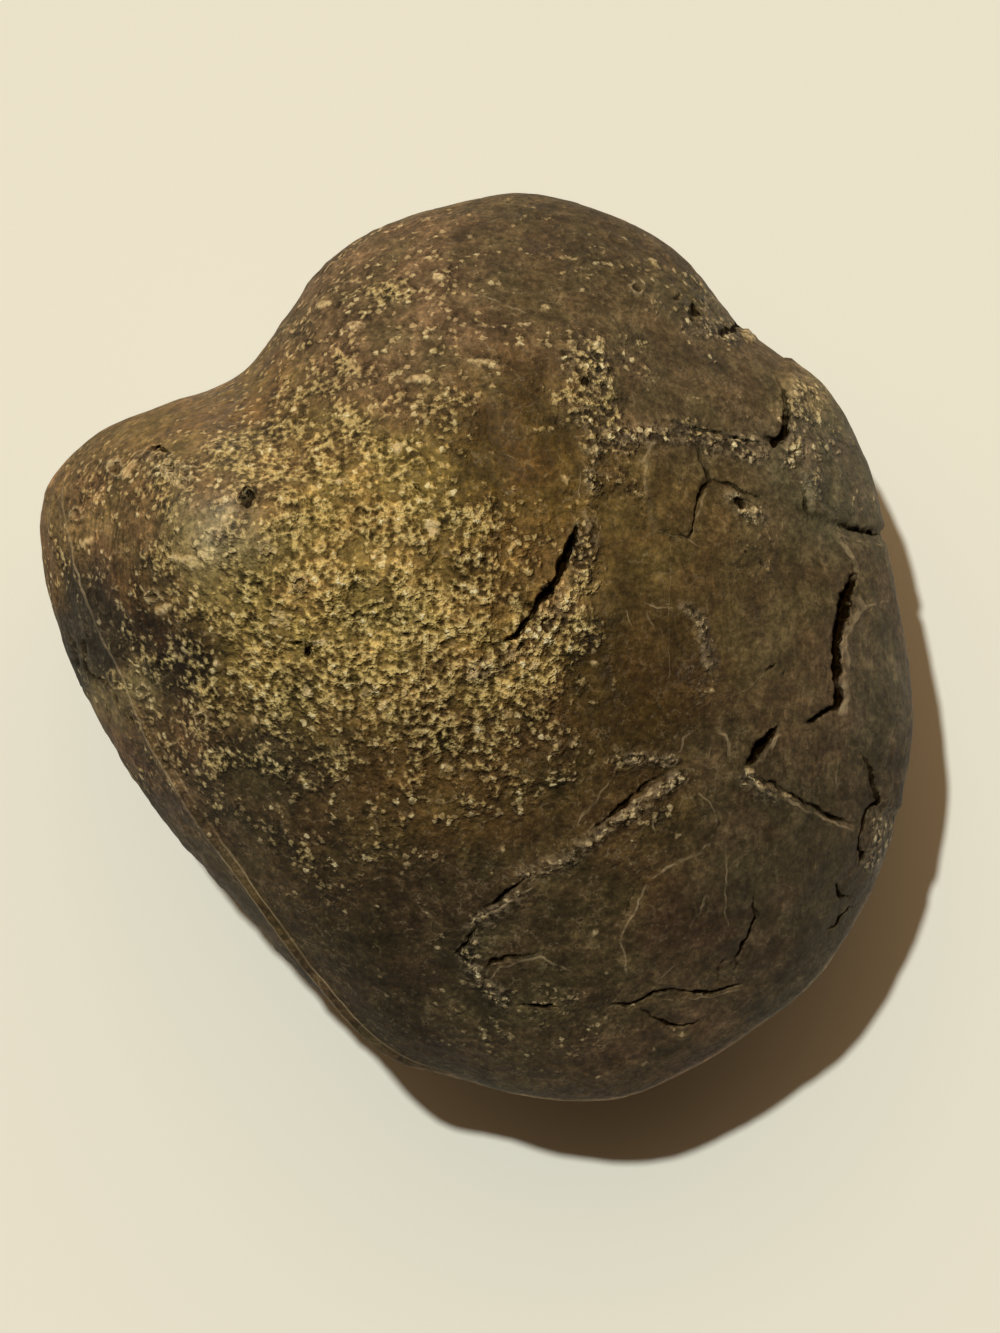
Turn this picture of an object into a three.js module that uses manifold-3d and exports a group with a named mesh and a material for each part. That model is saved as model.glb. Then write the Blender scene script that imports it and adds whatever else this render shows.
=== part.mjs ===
// A fossil clam, lying on one valve. Both valves and the rock that filled them
// are one piece of stone: a lopsided dome above, a fuller dome below, the seam
// between the valves as a low ridge round the body, thin plates of shell that
// are left on the upper valve, cracks, pits, and a worn flat that it rests on.
// Millimetres, +Z up. X and Y are the plan: the beak points to -X and +Y.
import * as THREE from 'three';
import { mergeVertices } from 'three/addons/utils/BufferGeometryUtils.js';
import Module from 'manifold-3d';

const wasm = await Module();
wasm.setup();
const { Manifold, Mesh } = wasm;

// ---------------------------------------------------------------- body sizes

// Widest outline in plan, anticlockwise from the right.
const OUTLINE = [
  [34.5, -5.7], [33.8, 1.4], [32.3, 9.0], [30.4, 15.6], [27.6, 20.4], [24.6, 22.9],
  [20.8, 25.8], [15.9, 31.6], [9.6, 34.8], [3.8, 36.1], [0.3, 35.7], [-7.3, 33.5],
  [-12.1, 30.3], [-14.9, 26.5], [-18.0, 22.3], [-20.2, 20.9], [-24.8, 19.3], [-30.1, 16.9],
  [-34.0, 12.6], [-34.3, 7.3], [-32.7, 0.5], [-28.3, -8.4], [-23.3, -15.4], [-18.1, -21.0],
  [-13.3, -26.3], [-7.2, -31.9], [-2.6, -33.6], [3.8, -35.5], [11.1, -35.8], [16.9, -33.5],
  [22.2, -30.1], [27.2, -26.0], [30.6, -20.6], [32.5, -16.2], [33.9, -10.6],
];
const CROWN = [-7, 3.5]; // the plan point that headings are measured from
const WAIST_HEIGHT = 17; // of the widest level above the flat that it rests on
const UPPER_RISE = 22.5; // of the upper dome above the waist, before its swellings
const LOWER_DROP = 15.9; // of the lower dome below the waist, before its swellings
const UPPER_ROUNDNESS = 1.7; // 1 is a cone, 2 is an ellipsoid, and more is squarer
const LOWER_ROUNDNESS = 2.2;
const CREASE_FADE = 3; // how fast the bends of the outline fade toward the crown
const CREASE_BLUR = 28; // degrees either side that the faded outline is a mean of
const BODY_DETAIL = 14; // subdivisions of each edge of the base icosahedron
const CURVE_SAMPLES = 720; // points read off a smooth curve
const UP = new THREE.Vector3(0, 0, 1);

// Swellings and hollows of each dome: plan position, height and spread.
const UPPER_SWELLINGS = [
  { x: -22, y: 11, height: 6.0, spread: 6.5 }, // the beak's bulge
  { x: -28, y: -3, height: -1.5, spread: 4.5 }, // the hollow below the beak
  { x: -15, y: 20, height: -2.0, spread: 5 }, // the hollow behind the beak
  { x: 22, y: -16, height: 2.0, spread: 9 }, // the full lower right
  { x: 8, y: 22, height: 1.5, spread: 9 },
  { x: 4, y: 0, height: 1.0, spread: 14 },
];
const LOWER_SWELLINGS = [
  { x: -25, y: 8, height: 2.8, spread: 8 }, // the lower valve's beak
  { x: 7, y: -4, height: 2.1, spread: 15 }, // the belly that it rests on
];

// Low lumps all over: wave direction in plan, wavelength, height and phase.
const LUMPS = [
  { along: [0.84, 0.54], wavelength: 13, height: 0.2, phase: 0.7 },
  { along: [-0.45, 0.89], wavelength: 9, height: 0.14, phase: 2.1 },
  { along: [0.45, -0.89], wavelength: 7, height: 0.1, phase: 4.0 },
  { along: [0.99, 0.12], wavelength: 5.5, height: 0.07, phase: 1.2 },
];

// ---------------------------------------------------------------- the seam

// How high the seam runs, as a share of the dome's height, by heading in degrees.
const SEAM_COURSE = [
  [0, -0.12], [60, -0.11], [110, -0.07], [140, -0.03], [151, 0.02], [158, 0.25], [172, 0.39],
  [194, 0.45], [224, 0.41], [244, 0.34], [258, 0.22], [272, 0.03], [290, -0.06], [320, -0.1],
  [360, -0.12],
];
const SEAM_STEPS = 72;
const SEAM_RIDGE = { halfWidth: 1.2, height: 0.7, from: 145, to: 285 };
const SEAM_GROOVE = { halfWidth: 0.32, depth: 0.55 };
const SEAM_BEDDING = 0.5; // how far a bar along the seam runs past the surface

// ---------------------------------------------------------------- shell plates

const PLATE_THICKNESS = 0.4;
const PLATE_BASE = 15; // height of the plates' lower edge, along the seam
const PLATE_TOP = 50; // above the whole fossil
const PLATES = [
  // lower right
  [[18.9, -15.2], [21.4, -12.0], [21.8, -9.6], [23.0, -10.4], [25.8, -11.9], [29.6, -14.0],
    [33.0, -14.6], [42, -16], [34, -34], [20, -42], [9.5, -40], [10.2, -31], [10.8, -28.2],
    [11.8, -25.6], [11.2, -23.5], [12.6, -21.4], [13.3, -19.0], [15.6, -17.2], [18.0, -16.0]],
  // right, between the margin crack and the rim
  [[28.8, -4.6], [28.6, -1.0], [28.6, 1.8], [29.9, 4.6], [30.6, 7.6], [42, 7], [42, -13],
    [31.6, -12.8], [30.9, -9.0], [29.4, -7.0]],
  // upper right
  [[24.6, 22.4], [24.7, 19.8], [24.5, 16.2], [26.0, 14.6], [26.6, 10.6], [28.4, 9.2],
    [32.0, 8.2], [42, 9], [40, 26], [26, 34]],
];

// ---------------------------------------------------------------- cracks and pits

const BLADE_LIFT = 0.6; // how far a crack's blade stands out of the surface
const FULL_DEPTH_FROM = 0.16; // half width from which a crack has its full depth
// Each crack: plan position and half width at each bend, and its depth.
const CRACKS = [
  { name: 'heart', depth: 1.8, bends: [[8.1, 10.5, 0.04], [7.8, 9.3, 0.16], [7.7, 8.1, 0.4],
    [7.1, 7.2, 0.48], [6.7, 6.3, 0.36], [6.4, 5.3, 0.28], [5.8, 4.3, 0.4], [5.0, 3.5, 0.32],
    [4.4, 2.6, 0.24], [3.9, 1.7, 0.2], [3.0, 1.2, 0.24], [2.2, 0.5, 0.16], [1.1, -0.3, 0.04]] },
  { name: 'margin', depth: 1.6, bends: [[29.9, 5.7, 0.1], [29.8, 4.9, 0.32], [29.3, 3.5, 0.36],
    [28.5, 1.6, 0.4], [28.7, 0.4, 0.28], [28.6, -1.2, 0.32], [28.7, -2.8, 0.32],
    [28.8, -4.1, 0.32], [28.1, -4.9, 0.32], [27.2, -5.4, 0.28], [26.4, -5.8, 0.05]] },
  { name: 'slit', depth: 1.4, bends: [[24.2, -6.2, 0.1], [23.5, -7.0, 0.36], [22.8, -7.8, 0.38],
    [22.2, -8.6, 0.34], [21.5, -9.3, 0.06]] },
  { name: 'upper right', depth: 1.1, bends: [[24.4, 21.3, 0.04], [24.6, 19.6, 0.18],
    [24.4, 18.0, 0.22], [24.4, 16.8, 0.4], [23.8, 16.6, 0.4], [23.1, 17.0, 0.1]] },
  { name: 'plate edge', depth: 0.7, bends: [[22.2, -10.1, 0.04], [24.0, -11.0, 0.18],
    [25.8, -11.8, 0.14], [27.6, -12.8, 0.2], [29.6, -13.9, 0.16], [30.1, -14.2, 0.04]] },
  { name: 'rim', depth: 0.8, bends: [[30.7, -8.2, 0.06], [31.2, -10.2, 0.16], [31.8, -11.6, 0.18],
    [31.7, -13.1, 0.18], [30.9, -14.2, 0.18], [30.3, -15.4, 0.16], [30.7, -17.7, 0.04]] },
  { name: 'bottom', depth: 0.8, bends: [[10.5, -28.3, 0.04], [11.9, -28.1, 0.18],
    [13.7, -27.4, 0.22], [14.9, -27.1, 0.14], [18.1, -27.4, 0.18], [20.4, -26.9, 0.18],
    [21.7, -26.4, 0.04]] },
  { name: 'below the bottom', depth: 0.6, bends: [[13.3, -28.6, 0.06], [14.3, -29.2, 0.18],
    [16.3, -29.8, 0.14], [17.6, -29.7, 0.04]] },
  { name: 'left of the bottom', depth: 0.6, bends: [[3.6, -28.3, 0.04], [5.8, -28.5, 0.18],
    [7.1, -28.6, 0.04]] },
  { name: 'lower arc', depth: 0.7, bends: [[4.7, -24.3, 0.06], [3.4, -24.4, 0.2],
    [2.2, -24.7, 0.22], [1.4, -25.4, 0.18], [0.9, -26.3, 0.05]] },
  { name: 'lower left', depth: 0.7, bends: [[4.6, -18.7, 0.06], [3.5, -19.1, 0.22],
    [2.7, -19.8, 0.2], [1.9, -20.3, 0.2], [0.8, -20.5, 0.05]] },
  { name: 'lower left end', depth: 0.7, bends: [[0.4, -21.9, 0.06], [-0.6, -23.5, 0.28],
    [-1.2, -24.1, 0.2], [-1.7, -24.7, 0.05]] },
  { name: 'middle', depth: 0.6, bends: [[9.2, -14.3, 0.04], [10.4, -13.4, 0.2],
    [11.6, -12.5, 0.2], [14.1, -10.2, 0.04]] },
  { name: 'thin right', depth: 0.5, bends: [[22.1, -19.8, 0.04], [22.0, -21.6, 0.16],
    [21.0, -24.3, 0.16], [20.4, -25.4, 0.04]] },
  { name: 'short', depth: 0.5, bends: [[26.2, 12.8, 0.08], [26.5, 11.6, 0.18],
    [26.6, 10.3, 0.05]] },
  { name: 'low rim', depth: 0.5, bends: [[28.5, -18.5, 0.1], [28.7, -19.5, 0.2],
    [29.7, -19.6, 0.05]] },
];

// Each pit: plan position, half width and depth below the surface.
const PITS = [
  { x: -18.0, y: 12.0, radius: 0.8, depth: 0.7 }, // the hole in the beak
  { x: 8.8, y: 21.3, radius: 0.45, depth: 0.5 },
  { x: 17.3, y: 27.3, radius: 0.6, depth: 0.5 },
  { x: -13.7, y: -0.4, radius: 0.9, depth: 0.5 },
  { x: 20.8, y: 11.5, radius: 0.55, depth: 0.5 },
  { x: -26.0, y: 16.0, radius: 0.7, depth: 0.4 },
  { x: 21.3, y: 25.9, radius: 0.6, depth: 0.6 }, // the chip in the edge
];

// The pitted skin over the crown: where it lies and the range of its pits.
const PITTED = {
  count: 26,
  middle: [-9, 4],
  halfSize: [15, 10],
  radius: [0.45, 0.95],
  depthShare: 0.45,
  seed: 7,
};

// ---------------------------------------------------------------- shape of the body

// Value at a position in a table of [position, value] rows, on a straight line
// between the two rows beside it.
function valueAt(table, position) {
  const next = Math.max(1, table.findIndex((row) => row[0] > position));
  const [before, after] = [table[next - 1], table[next]];
  return THREE.MathUtils.mapLinear(position, before[0], after[0], before[1], after[1]);
}

const TURN = 2 * Math.PI;

// Rows of [heading, distance from CROWN] along a smooth curve through OUTLINE.
function outlineTable() {
  const corners = OUTLINE.map(([x, y]) => new THREE.Vector3(x - CROWN[0], y - CROWN[1], 0));
  const curve = new THREE.CatmullRomCurve3(corners, true, 'centripetal');
  const rows = curve.getPoints(CURVE_SAMPLES).slice(1)
    .map((point) => [Math.atan2(point.y, point.x), Math.hypot(point.x, point.y)])
    .sort((a, b) => a[0] - b[0]);
  const [first, last] = [rows[0], rows[rows.length - 1]];
  return [[last[0] - TURN, last[1]], ...rows, [first[0] + TURN, first[1]]];
}
const outline = outlineTable();

// The same table with its bends smoothed away, one row for each degree.
function smoothOutlineTable() {
  const rows = [];
  for (let degrees = -181; degrees <= 181; degrees += 1) {
    let [sum, weights] = [0, 0];
    for (let offset = -3 * CREASE_BLUR; offset <= 3 * CREASE_BLUR; offset += 4) {
      const weight = Math.exp(-((offset / CREASE_BLUR) ** 2) / 2);
      const heading = wrapped(THREE.MathUtils.degToRad(degrees + offset));
      sum += weight * valueAt(outline, heading);
      weights += weight;
    }
    rows.push([THREE.MathUtils.degToRad(degrees), sum / weights]);
  }
  return rows;
}

// The same heading, between minus half a turn and half a turn.
function wrapped(heading) {
  return THREE.MathUtils.euclideanModulo(heading + Math.PI, TURN) - Math.PI;
}
const smoothOutline = smoothOutlineTable();

// Rows of [heading in degrees, share of the dome's height] along the seam.
function seamTable() {
  const stretch = 100; // keeps the curve's points evenly spread along the heading
  const curve = new THREE.CatmullRomCurve3(
    SEAM_COURSE.map(([degrees, share]) => new THREE.Vector3(degrees, share * stretch, 0)));
  return curve.getPoints(CURVE_SAMPLES).map((point) => [point.x, point.y / stretch]);
}
const seamCourse = seamTable();

function swelling(list, x, y) {
  return list.reduce((sum, { x: atX, y: atY, height, spread }) =>
    sum + height * Math.exp(-((x - atX) ** 2 + (y - atY) ** 2) / (2 * spread ** 2)), 0);
}

function lumps(x, y) {
  return LUMPS.reduce((sum, { along, wavelength, height, phase }) =>
    sum + height * Math.sin((TURN * (x * along[0] + y * along[1])) / wavelength + phase), 0);
}

// Height of the crown of each dome above or below the waist, over a plan point.
function riseAt(x, y) {
  return UPPER_RISE + swelling(UPPER_SWELLINGS, x, y) + lumps(x, y);
}

function dropAt(x, y) {
  return LOWER_DROP + swelling(LOWER_SWELLINGS, x, y) + lumps(y, x);
}

// Distance from the crown that stands for the whole way out, seen from a point
// at `distance`: the true outline near the edge and the smoothed one inside.
function reachAt(heading, distance) {
  const edge = valueAt(outline, heading);
  const near = Math.min(1, distance / edge) ** CREASE_FADE;
  return THREE.MathUtils.lerp(valueAt(smoothOutline, heading), edge, near);
}

// Other leg of the domes' profile: how far up it is at a level, or the reverse.
function profile(leg, roundness) {
  return Math.max(0, 1 - Math.abs(leg) ** roundness) ** (1 / roundness);
}

// Point of the surface at a heading, a share of the way out and a share of the
// dome's height, which is below 0 on the lower dome. `extra` thickens the skin.
function skinPoint(heading, level, share, extra = 0) {
  let distance = level * valueAt(outline, heading);
  for (let pass = 0; pass < 6; pass += 1) {
    distance = level * reachAt(heading, distance);
  }
  distance += extra * level;
  const x = CROWN[0] + distance * Math.cos(heading);
  const y = CROWN[1] + distance * Math.sin(heading);
  const dome = share > 0 ? riseAt(x, y) : dropAt(x, y);
  return new THREE.Vector3(x, y, WAIST_HEIGHT + (dome + extra) * share);
}

function surfaceAt(heading, share) {
  const roundness = share > 0 ? UPPER_ROUNDNESS : LOWER_ROUNDNESS;
  return skinPoint(heading, profile(share, roundness), share);
}

// Point of the upper dome over a plan point.
function surfaceOver(x, y) {
  const heading = Math.atan2(y - CROWN[1], x - CROWN[0]);
  const distance = Math.hypot(x - CROWN[0], y - CROWN[1]);
  const share = profile(distance / reachAt(heading, distance), UPPER_ROUNDNESS);
  return new THREE.Vector3(x, y, WAIST_HEIGHT + riseAt(x, y) * share);
}

function normalOver(x, y) {
  const step = 0.3;
  const slopeX = surfaceOver(x + step, y).z - surfaceOver(x - step, y).z;
  const slopeY = surfaceOver(x, y + step).z - surfaceOver(x, y - step).z;
  return new THREE.Vector3(-slopeX, -slopeY, 2 * step).normalize();
}

// ---------------------------------------------------------------- solids

function solidOf(geometry) {
  geometry.deleteAttribute('normal');
  geometry.deleteAttribute('uv');
  const merged = mergeVertices(geometry, 1e-5);
  return new Manifold(new Mesh({
    numProp: 3,
    vertProperties: new Float32Array(merged.attributes.position.array),
    triVerts: new Uint32Array(merged.index.array),
  }));
}

// The two domes in one skin, thicker by `extra`.
function bodySolid(extra = 0) {
  const geometry = new THREE.IcosahedronGeometry(1, BODY_DETAIL);
  const position = geometry.attributes.position;
  const spot = new THREE.Vector3();
  for (let i = 0; i < position.count; i += 1) {
    spot.fromBufferAttribute(position, i).normalize();
    const power = 2 / (spot.z > 0 ? UPPER_ROUNDNESS : LOWER_ROUNDNESS);
    const level = Math.hypot(spot.x, spot.y) ** power;
    const share = Math.sign(spot.z) * Math.abs(spot.z) ** power;
    const point = skinPoint(Math.atan2(spot.y, spot.x), level, share, extra);
    position.setXYZ(i, point.x, point.y, point.z);
  }
  return solidOf(geometry);
}

// A closed bar of three-cornered sections, each a list of three points. The
// sections close into a ring if `ring` is set, and into two end faces if not.
function barOf(sections, ring = false) {
  const corners = sections.flat().flatMap((point) => point.toArray());
  const faces = [];
  const spans = ring ? sections.length : sections.length - 1;
  for (let i = 0; i < spans; i += 1) {
    const here = 3 * i;
    const there = 3 * ((i + 1) % sections.length);
    for (let side = 0; side < 3; side += 1) {
      const next = (side + 1) % 3;
      faces.push(here + side, there + side, there + next);
      faces.push(here + side, there + next, here + next);
    }
  }
  if (!ring) {
    const end = corners.length / 3 - 3;
    faces.push(0, 1, 2);
    faces.push(end + 2, end + 1, end);
  }
  return new Manifold(new Mesh({
    numProp: 3,
    vertProperties: new Float32Array(corners),
    triVerts: new Uint32Array(faces),
  }));
}

// A V-shaped blade along a crack, with its edge `depth` below the surface.
function crackBlade({ bends, depth }) {
  const points = bends.map(([x, y]) => surfaceOver(x, y));
  const deepest = (halfWidth) => depth * Math.min(1, halfWidth / FULL_DEPTH_FROM);
  const sections = bends.map(([x, y, halfWidth], i) => {
    const ahead = points[Math.min(i + 1, points.length - 1)];
    const behind = points[Math.max(i - 1, 0)];
    const along = ahead.clone().sub(behind).normalize();
    const normal = normalOver(x, y);
    const across = normal.clone().cross(along).normalize();
    const flare = halfWidth * (1 + BLADE_LIFT / depth);
    const top = points[i].clone().addScaledVector(normal, BLADE_LIFT);
    const edge = points[i].clone().addScaledVector(normal, -deepest(halfWidth));
    return [top.clone().addScaledVector(across, flare), edge, top.addScaledVector(across, -flare)];
  });
  return barOf(sections);
}

// A ring or a length of three-cornered bar that follows the seam. A positive
// height stands out of the body, and a negative one cuts into it.
function seamBar(halfWidth, height, fromDegrees, toDegrees) {
  const ring = toDegrees - fromDegrees >= 360;
  const steps = Math.round((SEAM_STEPS * (toDegrees - fromDegrees)) / 360);
  const count = ring ? steps : steps + 1;
  const sections = [];
  for (let i = 0; i < count; i += 1) {
    const degrees = fromDegrees + ((toDegrees - fromDegrees) * i) / steps;
    const taper = ring ? 1 : Math.min(1, 0.05 + (4 * Math.min(i, steps - i)) / steps);
    sections.push(seamSection(degrees, halfWidth * taper, height * taper));
  }
  return barOf(sections, ring);
}

function seamSection(degrees, halfWidth, height) {
  const heading = wrapped(THREE.MathUtils.degToRad(degrees));
  const share = valueAt(seamCourse, degrees);
  const point = surfaceAt(heading, share);
  const small = 0.02;
  const above = surfaceAt(heading, share + small);
  const below = surfaceAt(heading, share - small);
  const up = above.sub(below).normalize();
  const ahead = surfaceAt(wrapped(heading + small), share);
  const behind = surfaceAt(wrapped(heading - small), share);
  const along = ahead.sub(behind).normalize();
  const normal = along.clone().cross(up).normalize();
  const root = height > 0 ? -SEAM_BEDDING : SEAM_BEDDING;
  const flare = halfWidth * (1 + SEAM_BEDDING / Math.abs(height));
  const base = point.clone().addScaledVector(normal, root);
  const edge = point.clone().addScaledVector(normal, height);
  const low = base.clone().addScaledVector(up, -flare);
  const high = base.clone().addScaledVector(up, flare);
  return height > 0 ? [low, edge, high] : [high, edge, low];
}

function plateSolid(corners, thickBody) {
  const shape = new THREE.Shape(corners.map(([x, y]) => new THREE.Vector2(x, y)));
  const geometry = new THREE.ExtrudeGeometry(shape, { depth: PLATE_TOP - PLATE_BASE, bevelEnabled: false });
  geometry.translate(0, 0, PLATE_BASE);
  return solidOf(geometry).intersect(thickBody);
}

function pitCutter({ x, y, radius, depth }) {
  const geometry = new THREE.IcosahedronGeometry(1, 0);
  geometry.scale(radius, radius, depth);
  geometry.applyQuaternion(new THREE.Quaternion().setFromUnitVectors(UP, normalOver(x, y)));
  const centre = surfaceOver(x, y);
  geometry.translate(centre.x, centre.y, centre.z);
  return solidOf(geometry);
}

// Repeatable numbers from 0 to 1.
function randomSource(seed) {
  let state = seed;
  return () => {
    state = (state * 16807) % 2147483647;
    return state / 2147483647;
  };
}

function scatteredPits({ count, middle, halfSize, radius, depthShare, seed }) {
  const random = randomSource(seed);
  return Array.from({ length: count }, () => {
    const size = THREE.MathUtils.lerp(radius[0], radius[1], random());
    const x = middle[0] + halfSize[0] * (2 * random() - 1);
    const y = middle[1] + halfSize[1] * (2 * random() - 1);
    return { x, y, radius: size, depth: size * depthShare };
  });
}

// ---------------------------------------------------------------- the fossil

function clamSolid() {
  const thickBody = bodySolid(PLATE_THICKNESS);
  const plates = PLATES.map((corners) => plateSolid(corners, thickBody));
  const ridge = seamBar(SEAM_RIDGE.halfWidth, SEAM_RIDGE.height, SEAM_RIDGE.from, SEAM_RIDGE.to);
  const raised = [...plates, ridge].reduce((sum, solid) => sum.add(solid), bodySolid());
  const groove = seamBar(SEAM_GROOVE.halfWidth, -SEAM_GROOVE.depth, 0, 360);
  const pits = [...PITS, ...scatteredPits(PITTED)].map(pitCutter);
  const cutters = [groove, ...CRACKS.map(crackBlade), ...pits];
  const worn = cutters.reduce((rest, cutter) => rest.subtract(cutter), raised);
  return largestPiece(worn.trimByPlane([0, 0, 1], 0));
}

// Leaves out the crumbs that a cut can free from the edge of a plate.
function largestPiece(solid) {
  return solid.decompose().reduce((best, piece) => (piece.volume() > best.volume() ? piece : best));
}

function geometryOf(solid) {
  const { vertProperties, triVerts } = solid.getMesh();
  const geometry = new THREE.BufferGeometry();
  geometry.setAttribute('position', new THREE.BufferAttribute(vertProperties, 3));
  geometry.setIndex(new THREE.BufferAttribute(triVerts, 1));
  return geometry;
}

// The plan is centred on the origin, and the resting flat is at height 0.
function centred(geometry) {
  geometry.computeBoundingBox();
  const { min, max } = geometry.boundingBox;
  geometry.translate(-(min.x + max.x) / 2, -(min.y + max.y) / 2, -min.z);
  geometry.computeVertexNormals();
  return geometry;
}

const stone = new THREE.MeshStandardMaterial({ color: 0x5c4a33, roughness: 0.55, metalness: 0 });
const clam = new THREE.Mesh(centred(geometryOf(clamSolid())), stone);
clam.name = 'fossil_clam';

const group = new THREE.Group();
group.add(clam);
export default group;
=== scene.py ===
"""A fossil clam, lying on one valve, lit from the upper left and seen from above.

The stone is one closed mesh that stands in for the CAD node. Its two domes have the
CAD's own outline, rises and seam, worked out again here at a finer step. On top of
them come the cracks, plates of shell, chips, rings, pits and grain, as height, and
the zones of colour, grain, crumbs, polish and streaks, as values on the mesh that
the material reads.
Sizes in this file are millimetres unless a name says metres.
"""

import itertools
import math

import bmesh
import bpy
import numpy as np
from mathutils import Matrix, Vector


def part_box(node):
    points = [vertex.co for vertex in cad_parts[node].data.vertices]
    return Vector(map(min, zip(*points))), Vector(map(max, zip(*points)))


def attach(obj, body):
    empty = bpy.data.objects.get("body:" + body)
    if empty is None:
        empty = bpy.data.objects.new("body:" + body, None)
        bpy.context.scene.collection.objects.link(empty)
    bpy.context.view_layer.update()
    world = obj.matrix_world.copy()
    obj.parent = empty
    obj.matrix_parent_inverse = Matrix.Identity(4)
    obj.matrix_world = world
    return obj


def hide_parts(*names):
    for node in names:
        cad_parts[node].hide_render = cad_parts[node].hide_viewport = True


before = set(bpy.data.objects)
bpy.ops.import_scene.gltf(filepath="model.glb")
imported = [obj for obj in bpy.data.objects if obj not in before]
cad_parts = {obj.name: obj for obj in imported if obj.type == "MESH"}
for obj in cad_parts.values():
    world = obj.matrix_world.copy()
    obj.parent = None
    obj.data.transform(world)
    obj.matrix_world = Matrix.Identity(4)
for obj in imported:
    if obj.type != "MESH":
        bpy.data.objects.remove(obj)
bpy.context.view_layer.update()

MM = 0.001
TURN = 2 * math.pi

# ------------------------------------------------------------------ the two domes

# Widest outline in plan, anticlockwise from the right.
OUTLINE = [
    (34.5, -5.7), (33.8, 1.4), (32.3, 9), (30.4, 15.6), (27.6, 20.4), (24.6, 22.9), (20.8, 25.8),
    (15.9, 31.6), (9.6, 34.8), (3.8, 36.1), (0.3, 35.7), (-7.3, 33.5), (-12.1, 30.3),
    (-14.9, 26.5), (-18, 22.3), (-20.2, 20.9), (-24.8, 19.3), (-30.1, 16.9), (-34, 12.6),
    (-34.3, 7.3), (-32.7, 0.5), (-28.3, -8.4), (-23.3, -15.4), (-18.1, -21), (-13.3, -26.3),
    (-7.2, -31.9), (-2.6, -33.6), (3.8, -35.5), (11.1, -35.8), (16.9, -33.5), (22.2, -30.1),
    (27.2, -26), (30.6, -20.6), (32.5, -16.2), (33.9, -10.6),
]
CROWN = (-7, 3.5)  # the plan point that headings are measured from
WAIST_HEIGHT = 17
UPPER_RISE = 22.5
LOWER_DROP = 15.9
UPPER_ROUNDNESS = 1.7
LOWER_ROUNDNESS = 2.2
CREASE_FADE = 3  # how soon the outline's corners fade out towards the crown
CREASE_BLUR = 28  # degrees of heading over which the faded outline is smoothed

# Swellings and hollows: plan position, height, spread.
UPPER_SWELLINGS = [
    (-22, 11, 6, 6.5),  # the beak's bulge
    (-28, -3, -1.5, 4.5),  # the hollow below the beak
    (-15, 20, -2, 5),  # the hollow behind the beak
    (22, -16, 2, 9),
    (8, 22, 1.5, 9),
    (4, 0, 1, 14),
]
LOWER_SWELLINGS = [
    (-25, 8, 2.8, 8),  # the lower valve's beak
    (7, -4, 2.1, 15),  # the belly that it rests on
]
LOWER_BEAK = (-27, 8, 10)  # where its growth lines start
# Low lumps all over: wave direction in plan, wavelength, height, phase.
LUMPS = [
    ((0.84, 0.54), 13, 0.2, 0.7),
    ((-0.45, 0.89), 9, 0.14, 2.1),
    ((0.45, -0.89), 7, 0.1, 4),
    ((0.99, 0.12), 5.5, 0.07, 1.2),
]
# The seam between the valves: heading in degrees, share of the dome's height.
SEAM_COURSE = [
    (0, -0.12), (60, -0.11), (110, -0.07), (140, -0.03), (151, 0.02), (158, 0.21),
    (170, 0.36), (181, 0.42), (195, 0.485), (216, 0.45), (235, 0.42), (248, 0.34),
    (256, 0.26), (262, 0.21), (272, 0.08), (290, -0.05), (320, -0.1), (360, -0.12),
]
SEAM_BLUR = 3  # degrees

# ------------------------------------------------------------------ relief

# Plan positions are in line with the marks as the camera sees them, at the waist's
# height (see as_seen).

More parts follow.
